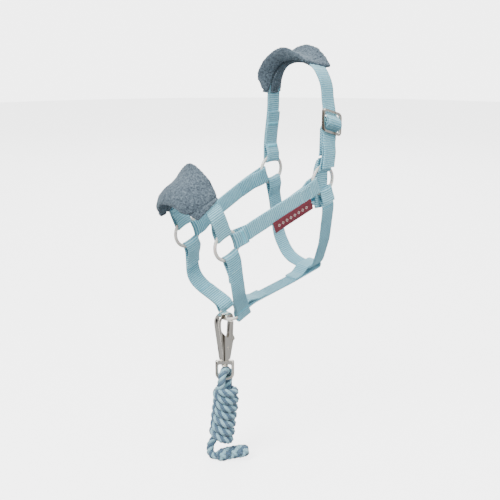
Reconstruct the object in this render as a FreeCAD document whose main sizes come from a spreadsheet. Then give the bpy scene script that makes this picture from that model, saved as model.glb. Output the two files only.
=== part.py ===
"""Head halter with lead rope: webbing straps on round rings, pads, slider, snap hook and rope.

Millimetres, +Z up, nose towards -Y, near side +X. The origin is the middle of the poll seat,
the face under the poll pad that bears on the head behind the ears.
"""
import FreeCAD
import Part
import Sketcher
import math
import os
from FreeCAD import Placement, Rotation, Vector

doc = FreeCAD.newDocument("HeadHalter")
X_AXIS = Vector(1, 0, 0)
Z_AXIS = Vector(0, 0, 1)

# ------------------------------------------------------------------ driving dimensions
SIZES = [
    ("web_width", 10.0, "width of all webbing"),
    ("web_thickness", 1.3, "thickness of all webbing"),
    ("ring_outer", 19.0, "outside diameter of the five rings"),
    ("ring_wire", 2.0, "wire diameter of the rings"),
    ("ring_gap", 0.2, "clearance between ring wire and folded webbing"),
    ("sewn_bite", 0.1, "how far sewn layers press into each other"),
    ("head_width", 46.8, "between the centres of the two upper rings"),
    ("muzzle_width", 38.0, "between the centres of the two lower rings"),
    ("crown_rise", 72.0, "upper ring centres up to the crown strap's middle layer"),
    ("cheek_reach", 72.8, "upper ring to lower ring, forwards"),
    ("cheek_fall", 29.3, "upper ring to lower ring, downwards"),
    ("nose_rise", 38.0, "lower ring centres to the nose strap, along the noseband"),
    ("chin_drop", 54.4, "lower ring centres to the chin ring, along the noseband"),
    ("nose_lean", 22.5, "lean of the noseband from vertical, degrees"),
    ("throat_drop", 65.3, "upper ring centres to the throat strap, along its plane"),
    ("throat_lean", 12.3, "lean of the throat strap from vertical, degrees"),
    ("lap", 10.0, "sewn overlap of a strap end"),
    ("crown_lap", 20.0, "sewn overlap of the crown strap at the far ring"),
    ("poll_pad_width", 17.0, "poll pad, front to back"),
    ("nose_pad_width", 21.0, "nose pad, front to back"),
    ("nose_pad_forward", 2.5, "nose pad ahead of the nose strap's middle"),
    ("pad_layer", 2.8, "one fleece layer of a pad"),
    ("pad_gap", 0.15, "clearance between a pad's channel and its strap"),
    ("poll_pad_near_end", 65.0, "poll pad's near end above the upper ring centres"),
    ("poll_pad_far_end", 51.0, "poll pad's far end above the upper ring centres"),
    ("nose_pad_near_end", 26.0, "nose pad's near end above the lower ring centres"),
    ("nose_pad_far_end", 19.0, "nose pad's far end above the lower ring centres"),
    ("slider_wide", 14.8, "slider, outside, across the webbing"),
    ("slider_tall", 14.0, "slider, outside, along the webbing"),
    ("slider_bar", 1.8, "slider bar diameter"),
    ("slider_height", 35.5, "slider centre above the upper ring centres"),
    ("slider_gap", 0.3, "clearance between slider bars and webbing"),
    ("label_length", 31.0, "side label, along the cheek strap"),
    ("label_width", 7.0, "side label, across the cheek strap"),
    ("label_thickness", 0.5, "side label"),
    ("hook_thickness", 5.0, "snap hook casting"),
    ("hook_wall", 2.4, "snap hook casting over the ring"),
    ("gate_slot", 2.8, "slot in the hook for the gate"),
    ("gate_play", 0.15, "side clearance of the gate in its slot"),
    ("gate_pin_diameter", 1.4, "gate rivet"),
    ("pin_clearance", 0.05, "radial running clearance on rivets"),
    ("gate_notch", 5.0, "diameter of the spring's notch in the gate"),
    ("spring_wire", 0.5, "gate spring wire"),
    ("spring_width", 0.7, "gate spring coil, along its pin"),
    ("swivel_wide", 12.0, "swivel eye, outside width"),
    ("swivel_tall", 13.6, "swivel eye, outside height"),
    ("swivel_bar", 2.2, "swivel eye bar"),
    ("swivel_top", 2.8, "swivel eye top bar"),
    ("swivel_thickness", 2.8, "swivel eye, front to back"),
    ("swivel_turn", 50.0, "swivel eye at rest, turned from the across direction, degrees"),
    ("swivel_pin_diameter", 2.2, "swivel rivet"),
    ("swivel_head", 4.2, "swivel rivet head diameter"),
    ("swivel_head_height", 1.2, "swivel rivet head height"),
    ("swivel_gap", 0.3, "end clearance of the swivel eye on its rivet"),
    ("rope_diameter", 5.0, "lead rope"),
    ("hank_width", 16.0, "wound hank, across"),
    ("hank_length", 42.0, "wound hank, along"),
    ("splice_diameter", 8.4, "back-spliced rope end"),
]
sheet = doc.addObject("Spreadsheet::Sheet", "Sizes")
for row, (alias, value, note) in enumerate(SIZES, start=1):
    sheet.set(f"A{row}", note)
    sheet.set(f"B{row}", str(value))
    sheet.setAlias(f"B{row}", alias)
doc.recompute()
size = {alias: float(sheet.get(alias)) for alias, _, _ in SIZES}

# Values that follow from the driving dimensions.
half_web = size["web_width"] / 2
half_layer = size["web_thickness"] / 2
wire_radius = size["ring_wire"] / 2
ring_radius = (size["ring_outer"] - size["ring_wire"]) / 2
layer_start = math.sqrt(ring_radius**2 - half_web**2) - 0.5
fold_offset = wire_radius + size["ring_gap"] + half_layer
tail_step = size["web_thickness"] - size["sewn_bite"]
upper_x = size["head_width"] / 2
lower_x = size["muzzle_width"] / 2
seat_drop = half_layer + size["pad_gap"] + size["pad_layer"]
upper_z = seat_drop - size["crown_rise"]
upper_centre = Vector(0, 0, upper_z)
lower_centre = Vector(0, -size["cheek_reach"], upper_z - size["cheek_fall"])
cheek_length = math.hypot(size["cheek_reach"], size["cheek_fall"])
cheek_lean = -math.degrees(math.atan2(size["cheek_reach"], size["cheek_fall"]))
noseband_turn = Rotation(X_AXIS, size["nose_lean"])
chin_centre = lower_centre + noseband_turn.multVec(Vector(0, 0, -size["chin_drop"]))
throat_turn = Rotation(X_AXIS, size["throat_lean"])
throat_middle = upper_centre + throat_turn.multVec(Vector(0, 0, -size["throat_drop"]))


# ------------------------------------------------------------------ outlines
def unit(a, b):
    """Direction from a to b, as a pair."""
    length = math.dist(a, b)
    return ((b[0] - a[0]) / length, (b[1] - a[1]) / length)


def beside(start, way, along, off):
    """Point a distance along a direction from a start, and off to its left."""
    return (start[0] + way[0] * along - way[1] * off, start[1] + way[1] * along + way[0] * off)


def rounded(knots, closed):
    """Line and arc pieces through knots (u, v, corner radius); each piece is (kind, points)."""
    points = [(k[0], k[1]) for k in knots]
    count = len(knots)
    corners = []
    for i, (u, v, radius) in enumerate(knots):
        end = not closed and i in (0, count - 1)
        if end or radius == 0:
            corners.append(((u, v), None, (u, v)))
            continue
        before = unit((u, v), points[i - 1])
        after = unit((u, v), points[(i + 1) % count])
        cosine = before[0] * after[0] + before[1] * after[1]
        half = math.acos(max(-1.0, min(1.0, cosine))) / 2
        reach = radius / math.tan(half)
        start = (u + before[0] * reach, v + before[1] * reach)
        stop = (u + after[0] * reach, v + after[1] * reach)
        bisector = unit((0, 0), (before[0] + after[0], before[1] + after[1]))
        depth = radius / math.sin(half) - radius
        middle = (u + bisector[0] * depth, v + bisector[1] * depth)
        corners.append((start, middle, stop))
    pieces = []
    for i, (start, middle, stop) in enumerate(corners):
        if middle:
            pieces.append(("arc", (start, middle, stop)))
        follow = i + 1
        if follow == count and not closed:
            break
        ahead = corners[follow % count][0]
        if math.dist(stop, ahead) > 1e-6:
            pieces.append(("line", (stop, ahead)))
    return pieces


def shifted(piece, distance):
    """A piece of a line moved sideways, to its left for a positive distance."""
    kind, points = piece
    if kind == "line":
        du, dv = unit(*points)
        return kind, tuple((u - dv * distance, v + du * distance) for u, v in points)
    start, middle, stop = points
    arc = Part.ArcOfCircle(*(Vector(u, v, 0) for u, v in points))
    centre = (arc.Center.x, arc.Center.y)
    chord = (stop[0] - start[0], stop[1] - start[1])
    bulge = (middle[0] - start[0], middle[1] - start[1])
    turns_left = chord[0] * bulge[1] - chord[1] * bulge[0] < 0
    radius = arc.Radius - distance if turns_left else arc.Radius + distance
    moved = []
    for point in points:
        away = unit(centre, point)
        moved.append((centre[0] + away[0] * radius, centre[1] + away[1] * radius))
    return kind, tuple(moved)


def band(knots, half=half_layer):
    """Closed outline of a strip along its middle layer, half its thickness to each side."""
    middle = rounded(knots, closed=False)
    left = [shifted(piece, half) for piece in middle]
    right = [shifted(piece, -half) for piece in middle]
    back = [(kind, points[::-1]) for kind, points in right[::-1]]
    cap_end = ("line", (left[-1][1][-1], back[0][1][0]))
    cap_start = ("line", (back[-1][1][-1], left[0][1][0]))
    return left + [cap_end] + back + [cap_start]


# ------------------------------------------------------------------ bodies and features
def new_body(label, base=Vector(), turn=Rotation()):
    """An empty body with its label and placement."""
    body = doc.addObject("PartDesign::Body", label)
    body.Label = label
    body.Placement = Placement(base, turn)
    return body


def new_sketch(body, plane, shift=Vector()):
    """An empty sketch on one of the body's origin planes, its zero point moved by shift."""
    sketch = body.newObject("Sketcher::SketchObject", body.Name + "_sketch")
    support = [f for f in body.Origin.OriginFeatures if f.Role == plane][0]
    sketch.AttachmentSupport = [(support, "")]
    sketch.MapMode = "FlatFace"
    sketch.AttachmentOffset = Placement(shift, Rotation())
    return sketch


def draw(sketch, pieces):
    """Put an outline into a sketch and tie the ends of its pieces together."""
    first = sketch.GeometryCount
    for kind, points in pieces:
        vectors = [Vector(u, v, 0) for u, v in points]
        shape = Part.ArcOfCircle(*vectors) if kind == "arc" else Part.LineSegment(*vectors)
        sketch.addGeometry(shape, False)
    count = len(pieces)
    for i in range(count):
        joint = Vector(*pieces[i][1][-1], 0)
        here = first + i
        following = first + (i + 1) % count
        ends = []
        for edge in (here, following):
            near_start = sketch.getPoint(edge, 1).distanceToPoint(joint)
            near_end = sketch.getPoint(edge, 2).distanceToPoint(joint)
            ends.append((edge, 1 if near_start < near_end else 2))
        sketch.addConstraint(coincident(ends))
    return first


def coincident(ends):
    """Constraint that two edge ends share one point."""
    return Sketcher.Constraint("Coincident", ends[0][0], ends[0][1], ends[1][0], ends[1][1])


def circle(sketch, centre, diameter):
    """A circle whose diameter follows an expression."""
    index = sketch.addGeometry(Part.Circle(Vector(centre[0], centre[1], 0), Z_AXIS, 1.0), False)
    sketch.addConstraint(Sketcher.Constraint("Diameter", index, 2.0))
    sketch.setExpression(f"Constraints[{sketch.ConstraintCount - 1}]", diameter)
    return index


def pad(body, sketch, length):
    """Pad a sketch evenly to both sides; length is an expression."""
    feature = body.newObject("PartDesign::Pad", body.Name + "_pad")
    feature.Profile = sketch
    feature.Midplane = True
    feature.setExpression("Length", length)
    sketch.Visibility = False
    return feature


def pocket(body, sketch, length):
    """Cut a sketch evenly to both sides; length is an expression."""
    feature = body.newObject("PartDesign::Pocket", body.Name + "_pocket")
    feature.Profile = sketch
    feature.Midplane = True
    feature.setExpression("Length", length)
    sketch.Visibility = False
    return feature


def strap(body, paths, plane="XZ_Plane"):
    """Pad each path of webbing to the webbing's width."""
    for knots in paths:
        sketch = new_sketch(body, plane)
        draw(sketch, band(knots))
        pad(body, sketch, "Sizes.web_width")


def ring_cut(body, plane, centre, length, shift=Vector()):
    """Stop the flat layers at a ring's wire, so that they cup the ring."""
    sketch = new_sketch(body, plane, shift)
    circle(sketch, centre, "Sizes.ring_outer - Sizes.ring_wire")
    return pocket(body, sketch, length)


def ring_fold(body, wire, inward, axis, shift=Vector(), plane="XZ_Plane"):
    """Webbing folded round a ring's wire: half a tube section turned about the ring's axis."""
    sketch = new_sketch(body, plane, shift)
    outer = fold_offset + half_layer
    inner = fold_offset - half_layer
    across = (-inward[1], inward[0])

    def at(radius, side):
        return (wire[0] + across[0] * radius * side, wire[1] + across[1] * radius * side)

    def deep(radius):
        return (wire[0] + inward[0] * radius, wire[1] + inward[1] * radius)

    draw(sketch, [
        ("arc", (at(outer, 1), deep(outer), at(outer, -1))),
        ("line", (at(outer, -1), at(inner, -1))),
        ("arc", (at(inner, -1), deep(inner), at(inner, 1))),
        ("line", (at(inner, 1), at(outer, 1))),
    ])
    feature = body.newObject("PartDesign::Revolution", body.Name + "_fold")
    feature.Profile = sketch
    feature.ReferenceAxis = (sketch, [axis])
    feature.Midplane = True
    feature.setExpression("Angle", "2 * asin(Sizes.web_width / (Sizes.ring_outer - Sizes.ring_wire))")
    sketch.Visibility = False
    return feature


# ------------------------------------------------------------------ rings
def ring(label, base, turn):
    """A round ring; its axis is the placement's Z."""
    torus = doc.addObject("Part::Torus", label)
    torus.Label = label
    torus.setExpression("Radius1", "(Sizes.ring_outer - Sizes.ring_wire) / 2")
    torus.setExpression("Radius2", "Sizes.ring_wire / 2")
    torus.Placement = Placement(base, turn)
    return torus


SIDES = {"near": 1, "far": -1}
across_turn = Rotation(Vector(0, 1, 0), 90)
made = []
for name, side in SIDES.items():
    made.append(ring("upper_ring_" + name, upper_centre + Vector(side * upper_x, 0, 0), across_turn))
    made.append(ring("lower_ring_" + name, lower_centre + Vector(side * lower_x, 0, 0), across_turn))
made.append(ring("chin_ring", chin_centre, noseband_turn))


# ------------------------------------------------------------------ straps
EASE = 3.0            # corner radius where a tail eases onto its strap
tail_straight = 3.0   # tail beside the ring before it eases in
tail_ease = 6.0       # length of that ease


def tail(ring_x, ring_z, out, away, lap):
    """Sewn tail on the inner side of a strap; out and away are +1 or -1."""
    wire_z = ring_z + away * ring_radius
    inner_x = ring_x - out * fold_offset
    sewn_x = ring_x + out * (fold_offset - tail_step)
    return [
        (inner_x, ring_z + away * layer_start, 0),
        (inner_x, wire_z + away * tail_straight, EASE),
        (sewn_x, wire_z + away * (tail_straight + tail_ease), EASE),
        (sewn_x, wire_z + away * (tail_straight + tail_ease + lap), 0),
    ]


upper_out = upper_x + fold_offset
lower_out = lower_x + fold_offset
through = "2 * Sizes.head_width"

# Cheek straps, straight with a small step in from the wide head to the narrow muzzle.
straight_end = 20.0
for name, side in SIDES.items():
    body = new_body("cheek_strap_" + name, upper_centre, Rotation(X_AXIS, cheek_lean))
    main = [
        (side * upper_out, -layer_start, 0),
        (side * upper_out, -straight_end, 30),
        (side * lower_out, straight_end - cheek_length, 30),
        (side * lower_out, layer_start - cheek_length, 0),
    ]
    upper_tail = tail(side * upper_x, 0, side, -1, size["lap"])
    lower_tail = tail(side * lower_x, -cheek_length, side, 1, size["lap"])
    strap(body, [main, upper_tail, lower_tail])
    ring_cut(body, "YZ_Plane", (0, 0), through)
    ring_cut(body, "YZ_Plane", (0, -cheek_length), through)
    ring_fold(body, (side * upper_x, -ring_radius), (0, 1), "H_Axis")
    down = Vector(0, -cheek_length, 0)
    ring_fold(body, (side * lower_x, ring_radius), (0, -1), "H_Axis", down)
    made.append(body)

# Nose strap, an arch over the nose.
body = new_body("nose_strap", lower_centre, noseband_turn)
nose_legs = 20.0      # where the legs start to close in
nose_shoulder = 14.0  # half the width of the arch's top before rounding
main = [
    (lower_out, layer_start, 0),
    (lower_out, nose_legs, 12),
    (nose_shoulder, size["nose_rise"], 11),
    (-nose_shoulder, size["nose_rise"], 11),
    (-lower_out, nose_legs, 12),
    (-lower_out, layer_start, 0),
]
strap(body, [main])
for side in SIDES.values():
    strap(body, [tail(side * lower_x, 0, side, 1, 1.0)])
ring_cut(body, "YZ_Plane", (0, 0), through)
for side in SIDES.values():
    ring_fold(body, (side * lower_x, ring_radius), (0, -1), "H_Axis")
made.append(body)

# Throat strap, a deep loop under the throat.
body = new_body("throat_strap", upper_centre, throat_turn)
right_half = [
    (upper_out, -layer_start, 0),
    (upper_out, -0.3 * size["throat_drop"], 30),
    (0.8 * upper_out, -0.7 * size["throat_drop"], 24),
    (0.36 * upper_out, -size["throat_drop"], 11),
]
main = right_half + [(-u, v, radius) for u, v, radius in right_half[::-1]]
strap(body, [main] + [tail(s * upper_x, 0, s, -1, size["lap"]) for s in SIDES.values()])
ring_cut(body, "YZ_Plane", (0, 0), through)
for side in SIDES.values():
    ring_fold(body, (side * upper_x, -ring_radius), (0, 1), "H_Axis")
made.append(body)

# Crown strap: from the far ring over the poll, in front of and behind the slider's bars.
slider_x = upper_x + 3.7
bar_pass = size["slider_bar"] / 2 + size["slider_gap"] + half_layer
over_loop = bar_pass + size["web_thickness"] + size["slider_gap"]
slider_z = size["slider_height"]
bar_pitch = (size["slider_tall"] - size["slider_bar"]) / 2
crown_near = slider_x - bar_pass
crown_top = size["crown_rise"]
crown_corner = (crown_near + upper_out) / 2 - 0.2
tail_end = 8.0
body = new_body("crown_strap", upper_centre)
main = [
    (-upper_out, layer_start, 0),
    (-upper_out, crown_top, crown_corner),
    (crown_near, crown_top, crown_corner),
    (crown_near, slider_z + bar_pitch - 1.0, 3),
    (slider_x + over_loop, slider_z + 1.6, 2),
    (slider_x + over_loop, slider_z - 1.6, 2),
    (crown_near, slider_z - bar_pitch + 1.0, 3),
    (crown_near, slider_z - bar_pitch - 5, 10),
    (crown_near + 2.6, tail_end, 0),
]
strap(body, [main, tail(-upper_x, 0, -1, 1, size["crown_lap"])])
sketch = new_sketch(body, "YZ_Plane")
circle(sketch, (0, 0), "Sizes.ring_outer - Sizes.ring_wire")
cut = body.newObject("PartDesign::Pocket", "crown_cut")
cut.Profile = sketch
cut.setExpression("Length", "Sizes.head_width")
cut.Reversed = False
ring_fold(body, (-upper_x, ring_radius), (0, -1), "H_Axis")
made.append(body)

# Adjuster loop: doubled webbing from the slider's centre bar to the near upper ring.
loop_outer = crown_near - size["web_thickness"] - 0.25
loop_inner = loop_outer - tail_step
body = new_body("adjuster_loop", upper_centre)
outer_layer = [
    (upper_out, layer_start, 0),
    (upper_out, ring_radius + 3, 6),
    (loop_outer, slider_z - bar_pitch - 3, 6),
    (loop_outer, slider_z - bar_pitch + 1.8, 2),
    (slider_x + bar_pass, slider_z - 1.0, 1.2),
    (slider_x + bar_pass, slider_z + bar_pass, bar_pass),
    (slider_x - bar_pass, slider_z + bar_pass, bar_pass),
    (slider_x - bar_pass, slider_z, 0),
]
inner_layer = [
    (slider_x - bar_pass, slider_z, 0),
    (slider_x - bar_pass, slider_z - 1.5, 1.5),
    (loop_inner, slider_z - bar_pitch + 1, 2),
    (loop_inner, slider_z - bar_pitch - 3, 6),
    (upper_x - fold_offset, ring_radius + 3, 6),
    (upper_x - fold_offset, layer_start, 0),
]
strap(body, [outer_layer, inner_layer])
ring_cut(body, "YZ_Plane", (0, 0), through)
ring_fold(body, (upper_x, ring_radius), (0, -1), "H_Axis")
made.append(body)

# Chin straps: from the lower rings down and inwards, folded round the chin ring's sides.
wire_edge = math.sqrt(ring_radius**2 - half_web**2)
fold_in = wire_edge - 1.3 * wire_radius - size["ring_gap"] - half_layer
fold_out = ring_radius + wire_radius + size["ring_gap"] + half_layer
chin_straight = 29.0  # where the straps start to close in
chin_lap = 7.0        # sewn overlap above the chin ring
fold_bottom = -size["chin_drop"] - wire_radius - size["ring_gap"] - half_layer
for name, side in SIDES.items():
    body = new_body("chin_strap_" + name, lower_centre, noseband_turn)
    knee = (side * lower_out, -chin_straight)
    foot = (side * fold_out, -size["chin_drop"] + 4)
    leg = unit(foot, knee)
    outer_layer = [
        (side * lower_out, -layer_start, 0),
        (*knee, 24),
        (*foot, 6),
        (side * fold_out, fold_bottom, 1.8),
        (side * fold_in, fold_bottom, 1.8),
        (side * fold_in, -size["chin_drop"], 0),
    ]
    inner_layer = [
        (side * fold_in, -size["chin_drop"], 0),
        (side * fold_in, -size["chin_drop"] + 3, 4),
        (*beside(foot, leg, tail_ease, side * tail_step), 4),
        (*beside(foot, leg, tail_ease + chin_lap, side * tail_step), 0),
    ]
    strap(body, [outer_layer, inner_layer, tail(side * lower_x, 0, side, -1, 4)])
    ring_cut(body, "YZ_Plane", (0, 0), through)
    ring_fold(body, (side * lower_x, -ring_radius), (0, 1), "H_Axis")
    made.append(body)

# Jaw strap: from the back of the chin ring to a loop round the throat strap.
to_throat = noseband_turn.inverted().multVec(throat_middle - chin_centre)
loop_turn = math.radians(size["throat_lean"] - size["nose_lean"])
loop_play = 1.1
loop_side = half_layer + loop_play + half_layer
loop_end = half_web + 0.6 + half_layer


def beside_throat(along, out):
    """Point near the throat strap, along its width and out from its face."""
    way = (math.cos(loop_turn), math.sin(loop_turn))
    return beside((to_throat.y, to_throat.z), way, along, out)


body = new_body("jaw_strap", chin_centre, noseband_turn)
knee = (ring_radius + 5, -fold_offset)
heel = beside_throat(-half_web - 14, -loop_side)
leg = unit(knee, heel)
outer_layer = [
    (layer_start, -fold_offset, 0),
    (*knee, 20),
    (*heel, 20),
    (*beside_throat(loop_end, -loop_side), loop_side),
    (*beside_throat(loop_end, loop_side), loop_side),
    (*beside_throat(0, loop_side), 0),
]
inner_layer = [
    (*beside_throat(0, loop_side), 0),
    (*beside_throat(-half_web - 1, loop_side), EASE),
    (*beside_throat(-half_web - 7, tail_step - loop_side), EASE),
    (*beside_throat(-half_web - 13, tail_step - loop_side), 0),
]
front_tail = [
    (layer_start, fold_offset, 0),
    (ring_radius + tail_straight, fold_offset, EASE),
    (*beside(knee, leg, 4, tail_step), EASE),
    (*beside(knee, leg, 10, tail_step), 0),
]
strap(body, [outer_layer, inner_layer, front_tail], "YZ_Plane")
ring_cut(body, "XY_Plane", (0, 0), through)
ring_fold(body, (ring_radius, 0), (-1, 0), "V_Axis", Vector(), "YZ_Plane")
made.append(body)

# ------------------------------------------------------------------ pads
def fleece_pad(label, base, turn, path, ahead):
    """Pad wrapped along a strap's arch, with the strap's channel and both ends cut level."""
    wide = label + "_width"
    near_end = size[label + "_near_end"]
    far_end = size[label + "_far_end"]
    body = new_body(label, base, turn)
    channel_half = half_layer + size["pad_gap"]
    sketch = new_sketch(body, "XZ_Plane", ahead)
    draw(sketch, band(path, channel_half + size["pad_layer"]))
    pad(body, sketch, "Sizes." + wide)
    sketch = new_sketch(body, "XZ_Plane")
    draw(sketch, band(path, channel_half))
    pocket(body, sketch, "Sizes.web_width + 4 * Sizes.pad_gap")
    sketch = new_sketch(body, "XZ_Plane")
    for side, end in ((1, near_end), (-1, far_end)):
        edge = side * size["head_width"]
        corners = [(side, -1), (side, end), (edge, end), (edge, -1)]
        draw(sketch, rounded([(u, v, 0) for u, v in corners], closed=True))
    pocket(body, sketch, "2 * Sizes." + wide)
    made.append(body)


crown_path = [
    (-upper_out, 30, 0),
    (-upper_out, crown_top, crown_corner),
    (crown_near, crown_top, crown_corner),
    (crown_near, 30, 0),
]
fleece_pad("poll_pad", upper_centre, Rotation(), crown_path, Vector())
nose_path = [
    (lower_out, 10, 0),
    (lower_out, nose_legs, 12),
    (nose_shoulder, size["nose_rise"], 11),
    (-nose_shoulder, size["nose_rise"], 11),
    (-lower_out, nose_legs, 12),
    (-lower_out, 10, 0),
]
nose_ahead = Vector(0, 0, size["nose_pad_forward"])
fleece_pad("nose_pad", lower_centre, noseband_turn, nose_path, nose_ahead)

# ------------------------------------------------------------------ label
label_start = 16.0
label_over = 1.4      # how far the label lies over the strap's edge
label_clear = 0.02    # between the label and the strap
label_x = upper_out + half_layer + size["label_thickness"] / 2 + label_clear
label_step = upper_out - lower_out
label_slope = label_step / (cheek_length - 2 * straight_end)
cheek_turn = Rotation(X_AXIS, cheek_lean)
drop = half_web + size["label_width"] / 2 - label_over
label_base = upper_centre + cheek_turn.multVec(Vector(0, drop, 0))
body = new_body("side_label", label_base, cheek_turn)
label_end = label_start + size["label_length"]
label_path = [
    (label_x, -label_start, 0),
    (label_x, -straight_end, 30),
    (label_x - label_slope * (label_end - straight_end), -label_end, 0),
]
sketch = new_sketch(body, "XZ_Plane")
draw(sketch, band(label_path, size["label_thickness"] / 2))
pad(body, sketch, "Sizes.label_width")
made.append(body)


# ------------------------------------------------------------------ cast metal
def ease_edges(body, feature, radius):
    """Round every edge of a casting."""
    doc.recompute()
    rounding = body.newObject("PartDesign::Fillet", body.Name + "_rounding")
    rounding.Base = (feature, [f"Edge{i + 1}" for i in range(len(feature.Shape.Edges))])
    rounding.Radius = radius
    return rounding


def box_knots(left, right, bottom, top, low_round, high_round):
    """Rectangle with rounded corners, its own radius below and above."""
    return [
        (left, bottom, low_round),
        (right, bottom, low_round),
        (right, top, high_round),
        (left, top, high_round),
    ]


# Slider: a rounded frame with a centre bar.
slider_centre = upper_centre + Vector(slider_x, 0, slider_z)
body = new_body("slider_frame", slider_centre)
bar = size["slider_bar"]
wide = size["slider_wide"] / 2
tall = size["slider_tall"] / 2
sketch = new_sketch(body, "YZ_Plane")
draw(sketch, rounded(box_knots(-wide, wide, -tall, tall, 2.6, 2.6), closed=True))
draw(sketch, rounded(box_knots(bar - wide, wide - bar, bar - tall, -bar / 2, 1.2, 0.8), closed=True))
draw(sketch, rounded(box_knots(bar - wide, wide - bar, bar / 2, tall - bar, 0.8, 1.2), closed=True))
frame = pad(body, sketch, "Sizes.slider_bar")
ease_edges(body, frame, 0.55)
made.append(body)

# Snap: hook, gate, rivets and spring, in a frame whose origin is the ring's wire.
forward = noseband_turn.multVec(Vector(0, -ring_radius, 0))
snap_base = chin_centre + forward
snap_turn = Rotation(Z_AXIS, 90)
hook_foot = -28.0
hook_seat = wire_radius + 0.45
hook_top = hook_seat + size["hook_wall"]
pivot = (1.35, -19.5)
body = new_body("snap_hook", snap_base, snap_turn)
sketch = new_sketch(body, "XZ_Plane")
draw(sketch, rounded([
    (-6.5, hook_top, 5.4),
    (5.9, hook_top, 4.2),
    (5.9, -2.6, 1.0),
    (3.6, -2.6, 1.0),
    (3.6, hook_seat, 2.6),
    (-4.1, hook_seat, 3.2),
    (-4.1, -7.0, 6.0),
    (0.5, -12.0, 6.0),
    (5.8, -15.4, 1.5),
    (2.9, hook_foot, 1.0),
    (-2.9, hook_foot, 1.0),
    (-6.5, -3.0, 12.0),
], closed=True))
casting = pad(body, sketch, "Sizes.hook_thickness")
ease_edges(body, casting, 0.8)
sketch = new_sketch(body, "XZ_Plane")
draw(sketch, rounded(box_knots(-1.2, 9.0, -22.2, -8.6, 0.5, 0.5), closed=True))
pocket(body, sketch, "Sizes.gate_slot")
sketch = new_sketch(body, "XZ_Plane")
circle(sketch, pivot, "Sizes.gate_pin_diameter")
pocket(body, sketch, "2 * Sizes.hook_thickness")
rivet_depth = 3.0
sketch = new_sketch(body, "XY_Plane", Vector(0, 0, hook_foot))
circle(sketch, (0, 0), "Sizes.swivel_pin_diameter")
rivet_hole = body.newObject("PartDesign::Pocket", "rivet_hole")
rivet_hole.Profile = sketch
rivet_hole.Length = rivet_depth
rivet_hole.Reversed = True
made.append(body)

body = new_body("snap_gate", snap_base, snap_turn)
sketch = new_sketch(body, "XZ_Plane")
draw(sketch, rounded([
    (6.5, -3.1, 0.6),
    (3.3, -3.1, 0.6),
    (2.6, -12.0, 6.0),
    (-0.5, -17.5, 2.0),
    (-0.5, -21.4, 1.7),
    (3.2, -21.4, 1.7),
    (3.4, -18.4, 1.0),
    (7.7, -15.4, 0.9),
    (6.0, -12.0, 3.0),
], closed=True))
pad(body, sketch, "Sizes.gate_slot - 2 * Sizes.gate_play")
sketch = new_sketch(body, "XZ_Plane")
circle(sketch, pivot, "Sizes.gate_pin_diameter + 2 * Sizes.pin_clearance")
pocket(body, sketch, "Sizes.hook_thickness")
sketch = new_sketch(body, "XZ_Plane")
circle(sketch, pivot, "Sizes.gate_notch")
pocket(body, sketch, "2 * Sizes.spring_wire")
made.append(body)


def local_cylinder(label, radius, height, base, turn):
    """Part cylinder with radius and height given as expressions."""
    item = doc.addObject("Part::Cylinder", label)
    item.Label = label
    item.setExpression("Radius", radius)
    item.setExpression("Height", height)
    item.Placement = Placement(base, turn)
    return item


pivot_place = snap_base + snap_turn.multVec(Vector(pivot[0], 0, pivot[1]))
along_x = Rotation(Vector(0, 1, 0), 90)
pin_half = size["hook_thickness"] / 2
made.append(local_cylinder("gate_pin", "Sizes.gate_pin_diameter / 2", "Sizes.hook_thickness",
                           pivot_place - Vector(pin_half, 0, 0), along_x))

body = new_body("gate_spring", snap_base, snap_turn)
sketch = new_sketch(body, "XZ_Plane")
circle(sketch, pivot, "Sizes.gate_pin_diameter + 2 * Sizes.pin_clearance + 2 * Sizes.spring_wire")
circle(sketch, pivot, "Sizes.gate_pin_diameter + 2 * Sizes.pin_clearance")
pad(body, sketch, "Sizes.spring_width")
coil_edge = pivot[0] - size["gate_pin_diameter"] / 2 - size["pin_clearance"] - size["spring_wire"]
sketch = new_sketch(body, "XZ_Plane")
leg = box_knots(coil_edge, coil_edge + size["spring_wire"] * 0.8, -21.9, pivot[1], 0, 0)
draw(sketch, rounded(leg, closed=True))
pad(body, sketch, "Sizes.spring_width")
made.append(body)

# Swivel: a headed rivet in the hook's foot, and the eye that turns on it.
foot_place = snap_base + Vector(0, 0, hook_foot)
body = new_body("swivel_pin", foot_place)
shank_end = -size["swivel_top"] - 1.5 * size["swivel_gap"]
head_end = shank_end - size["swivel_head_height"]
pin_half = size["swivel_pin_diameter"] / 2
head_half = size["swivel_head"] / 2
sketch = new_sketch(body, "XZ_Plane")
draw(sketch, rounded([
    (0, rivet_depth, 0),
    (pin_half, rivet_depth, 0),
    (pin_half, shank_end, 0),
    (head_half, shank_end, 0.3),
    (head_half, head_end, 0.5),
    (0, head_end, 0),
], closed=True))
turned = body.newObject("PartDesign::Revolution", "swivel_pin_turned")
turned.Profile = sketch
turned.ReferenceAxis = (sketch, ["V_Axis"])
turned.Angle = 360
made.append(body)

eye_turn = Rotation(Z_AXIS, size["swivel_turn"])
eye_place = foot_place - Vector(0, 0, size["swivel_gap"])
body = new_body("swivel_eye", eye_place, eye_turn)
eye_half = size["swivel_wide"] / 2
eye_side = 1.9
inner_half = eye_half - eye_side
eye_bottom = -size["swivel_tall"]
sketch = new_sketch(body, "XZ_Plane")
draw(sketch, rounded(box_knots(-eye_half, eye_half, eye_bottom, 0, 4.6, 1.4), closed=True))
inner_low = eye_bottom + size["swivel_bar"]
draw(sketch, rounded(
    box_knots(-inner_half, inner_half, inner_low, -size["swivel_top"], 2.8, 1.0), closed=True))
casting = pad(body, sketch, "Sizes.swivel_thickness")
ease_edges(body, casting, 0.7)
sketch = new_sketch(body, "XY_Plane")
circle(sketch, (0, 0), "Sizes.swivel_pin_diameter + 2 * Sizes.pin_clearance")
hole = body.newObject("PartDesign::Pocket", "swivel_hole")
hole.Profile = sketch
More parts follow.
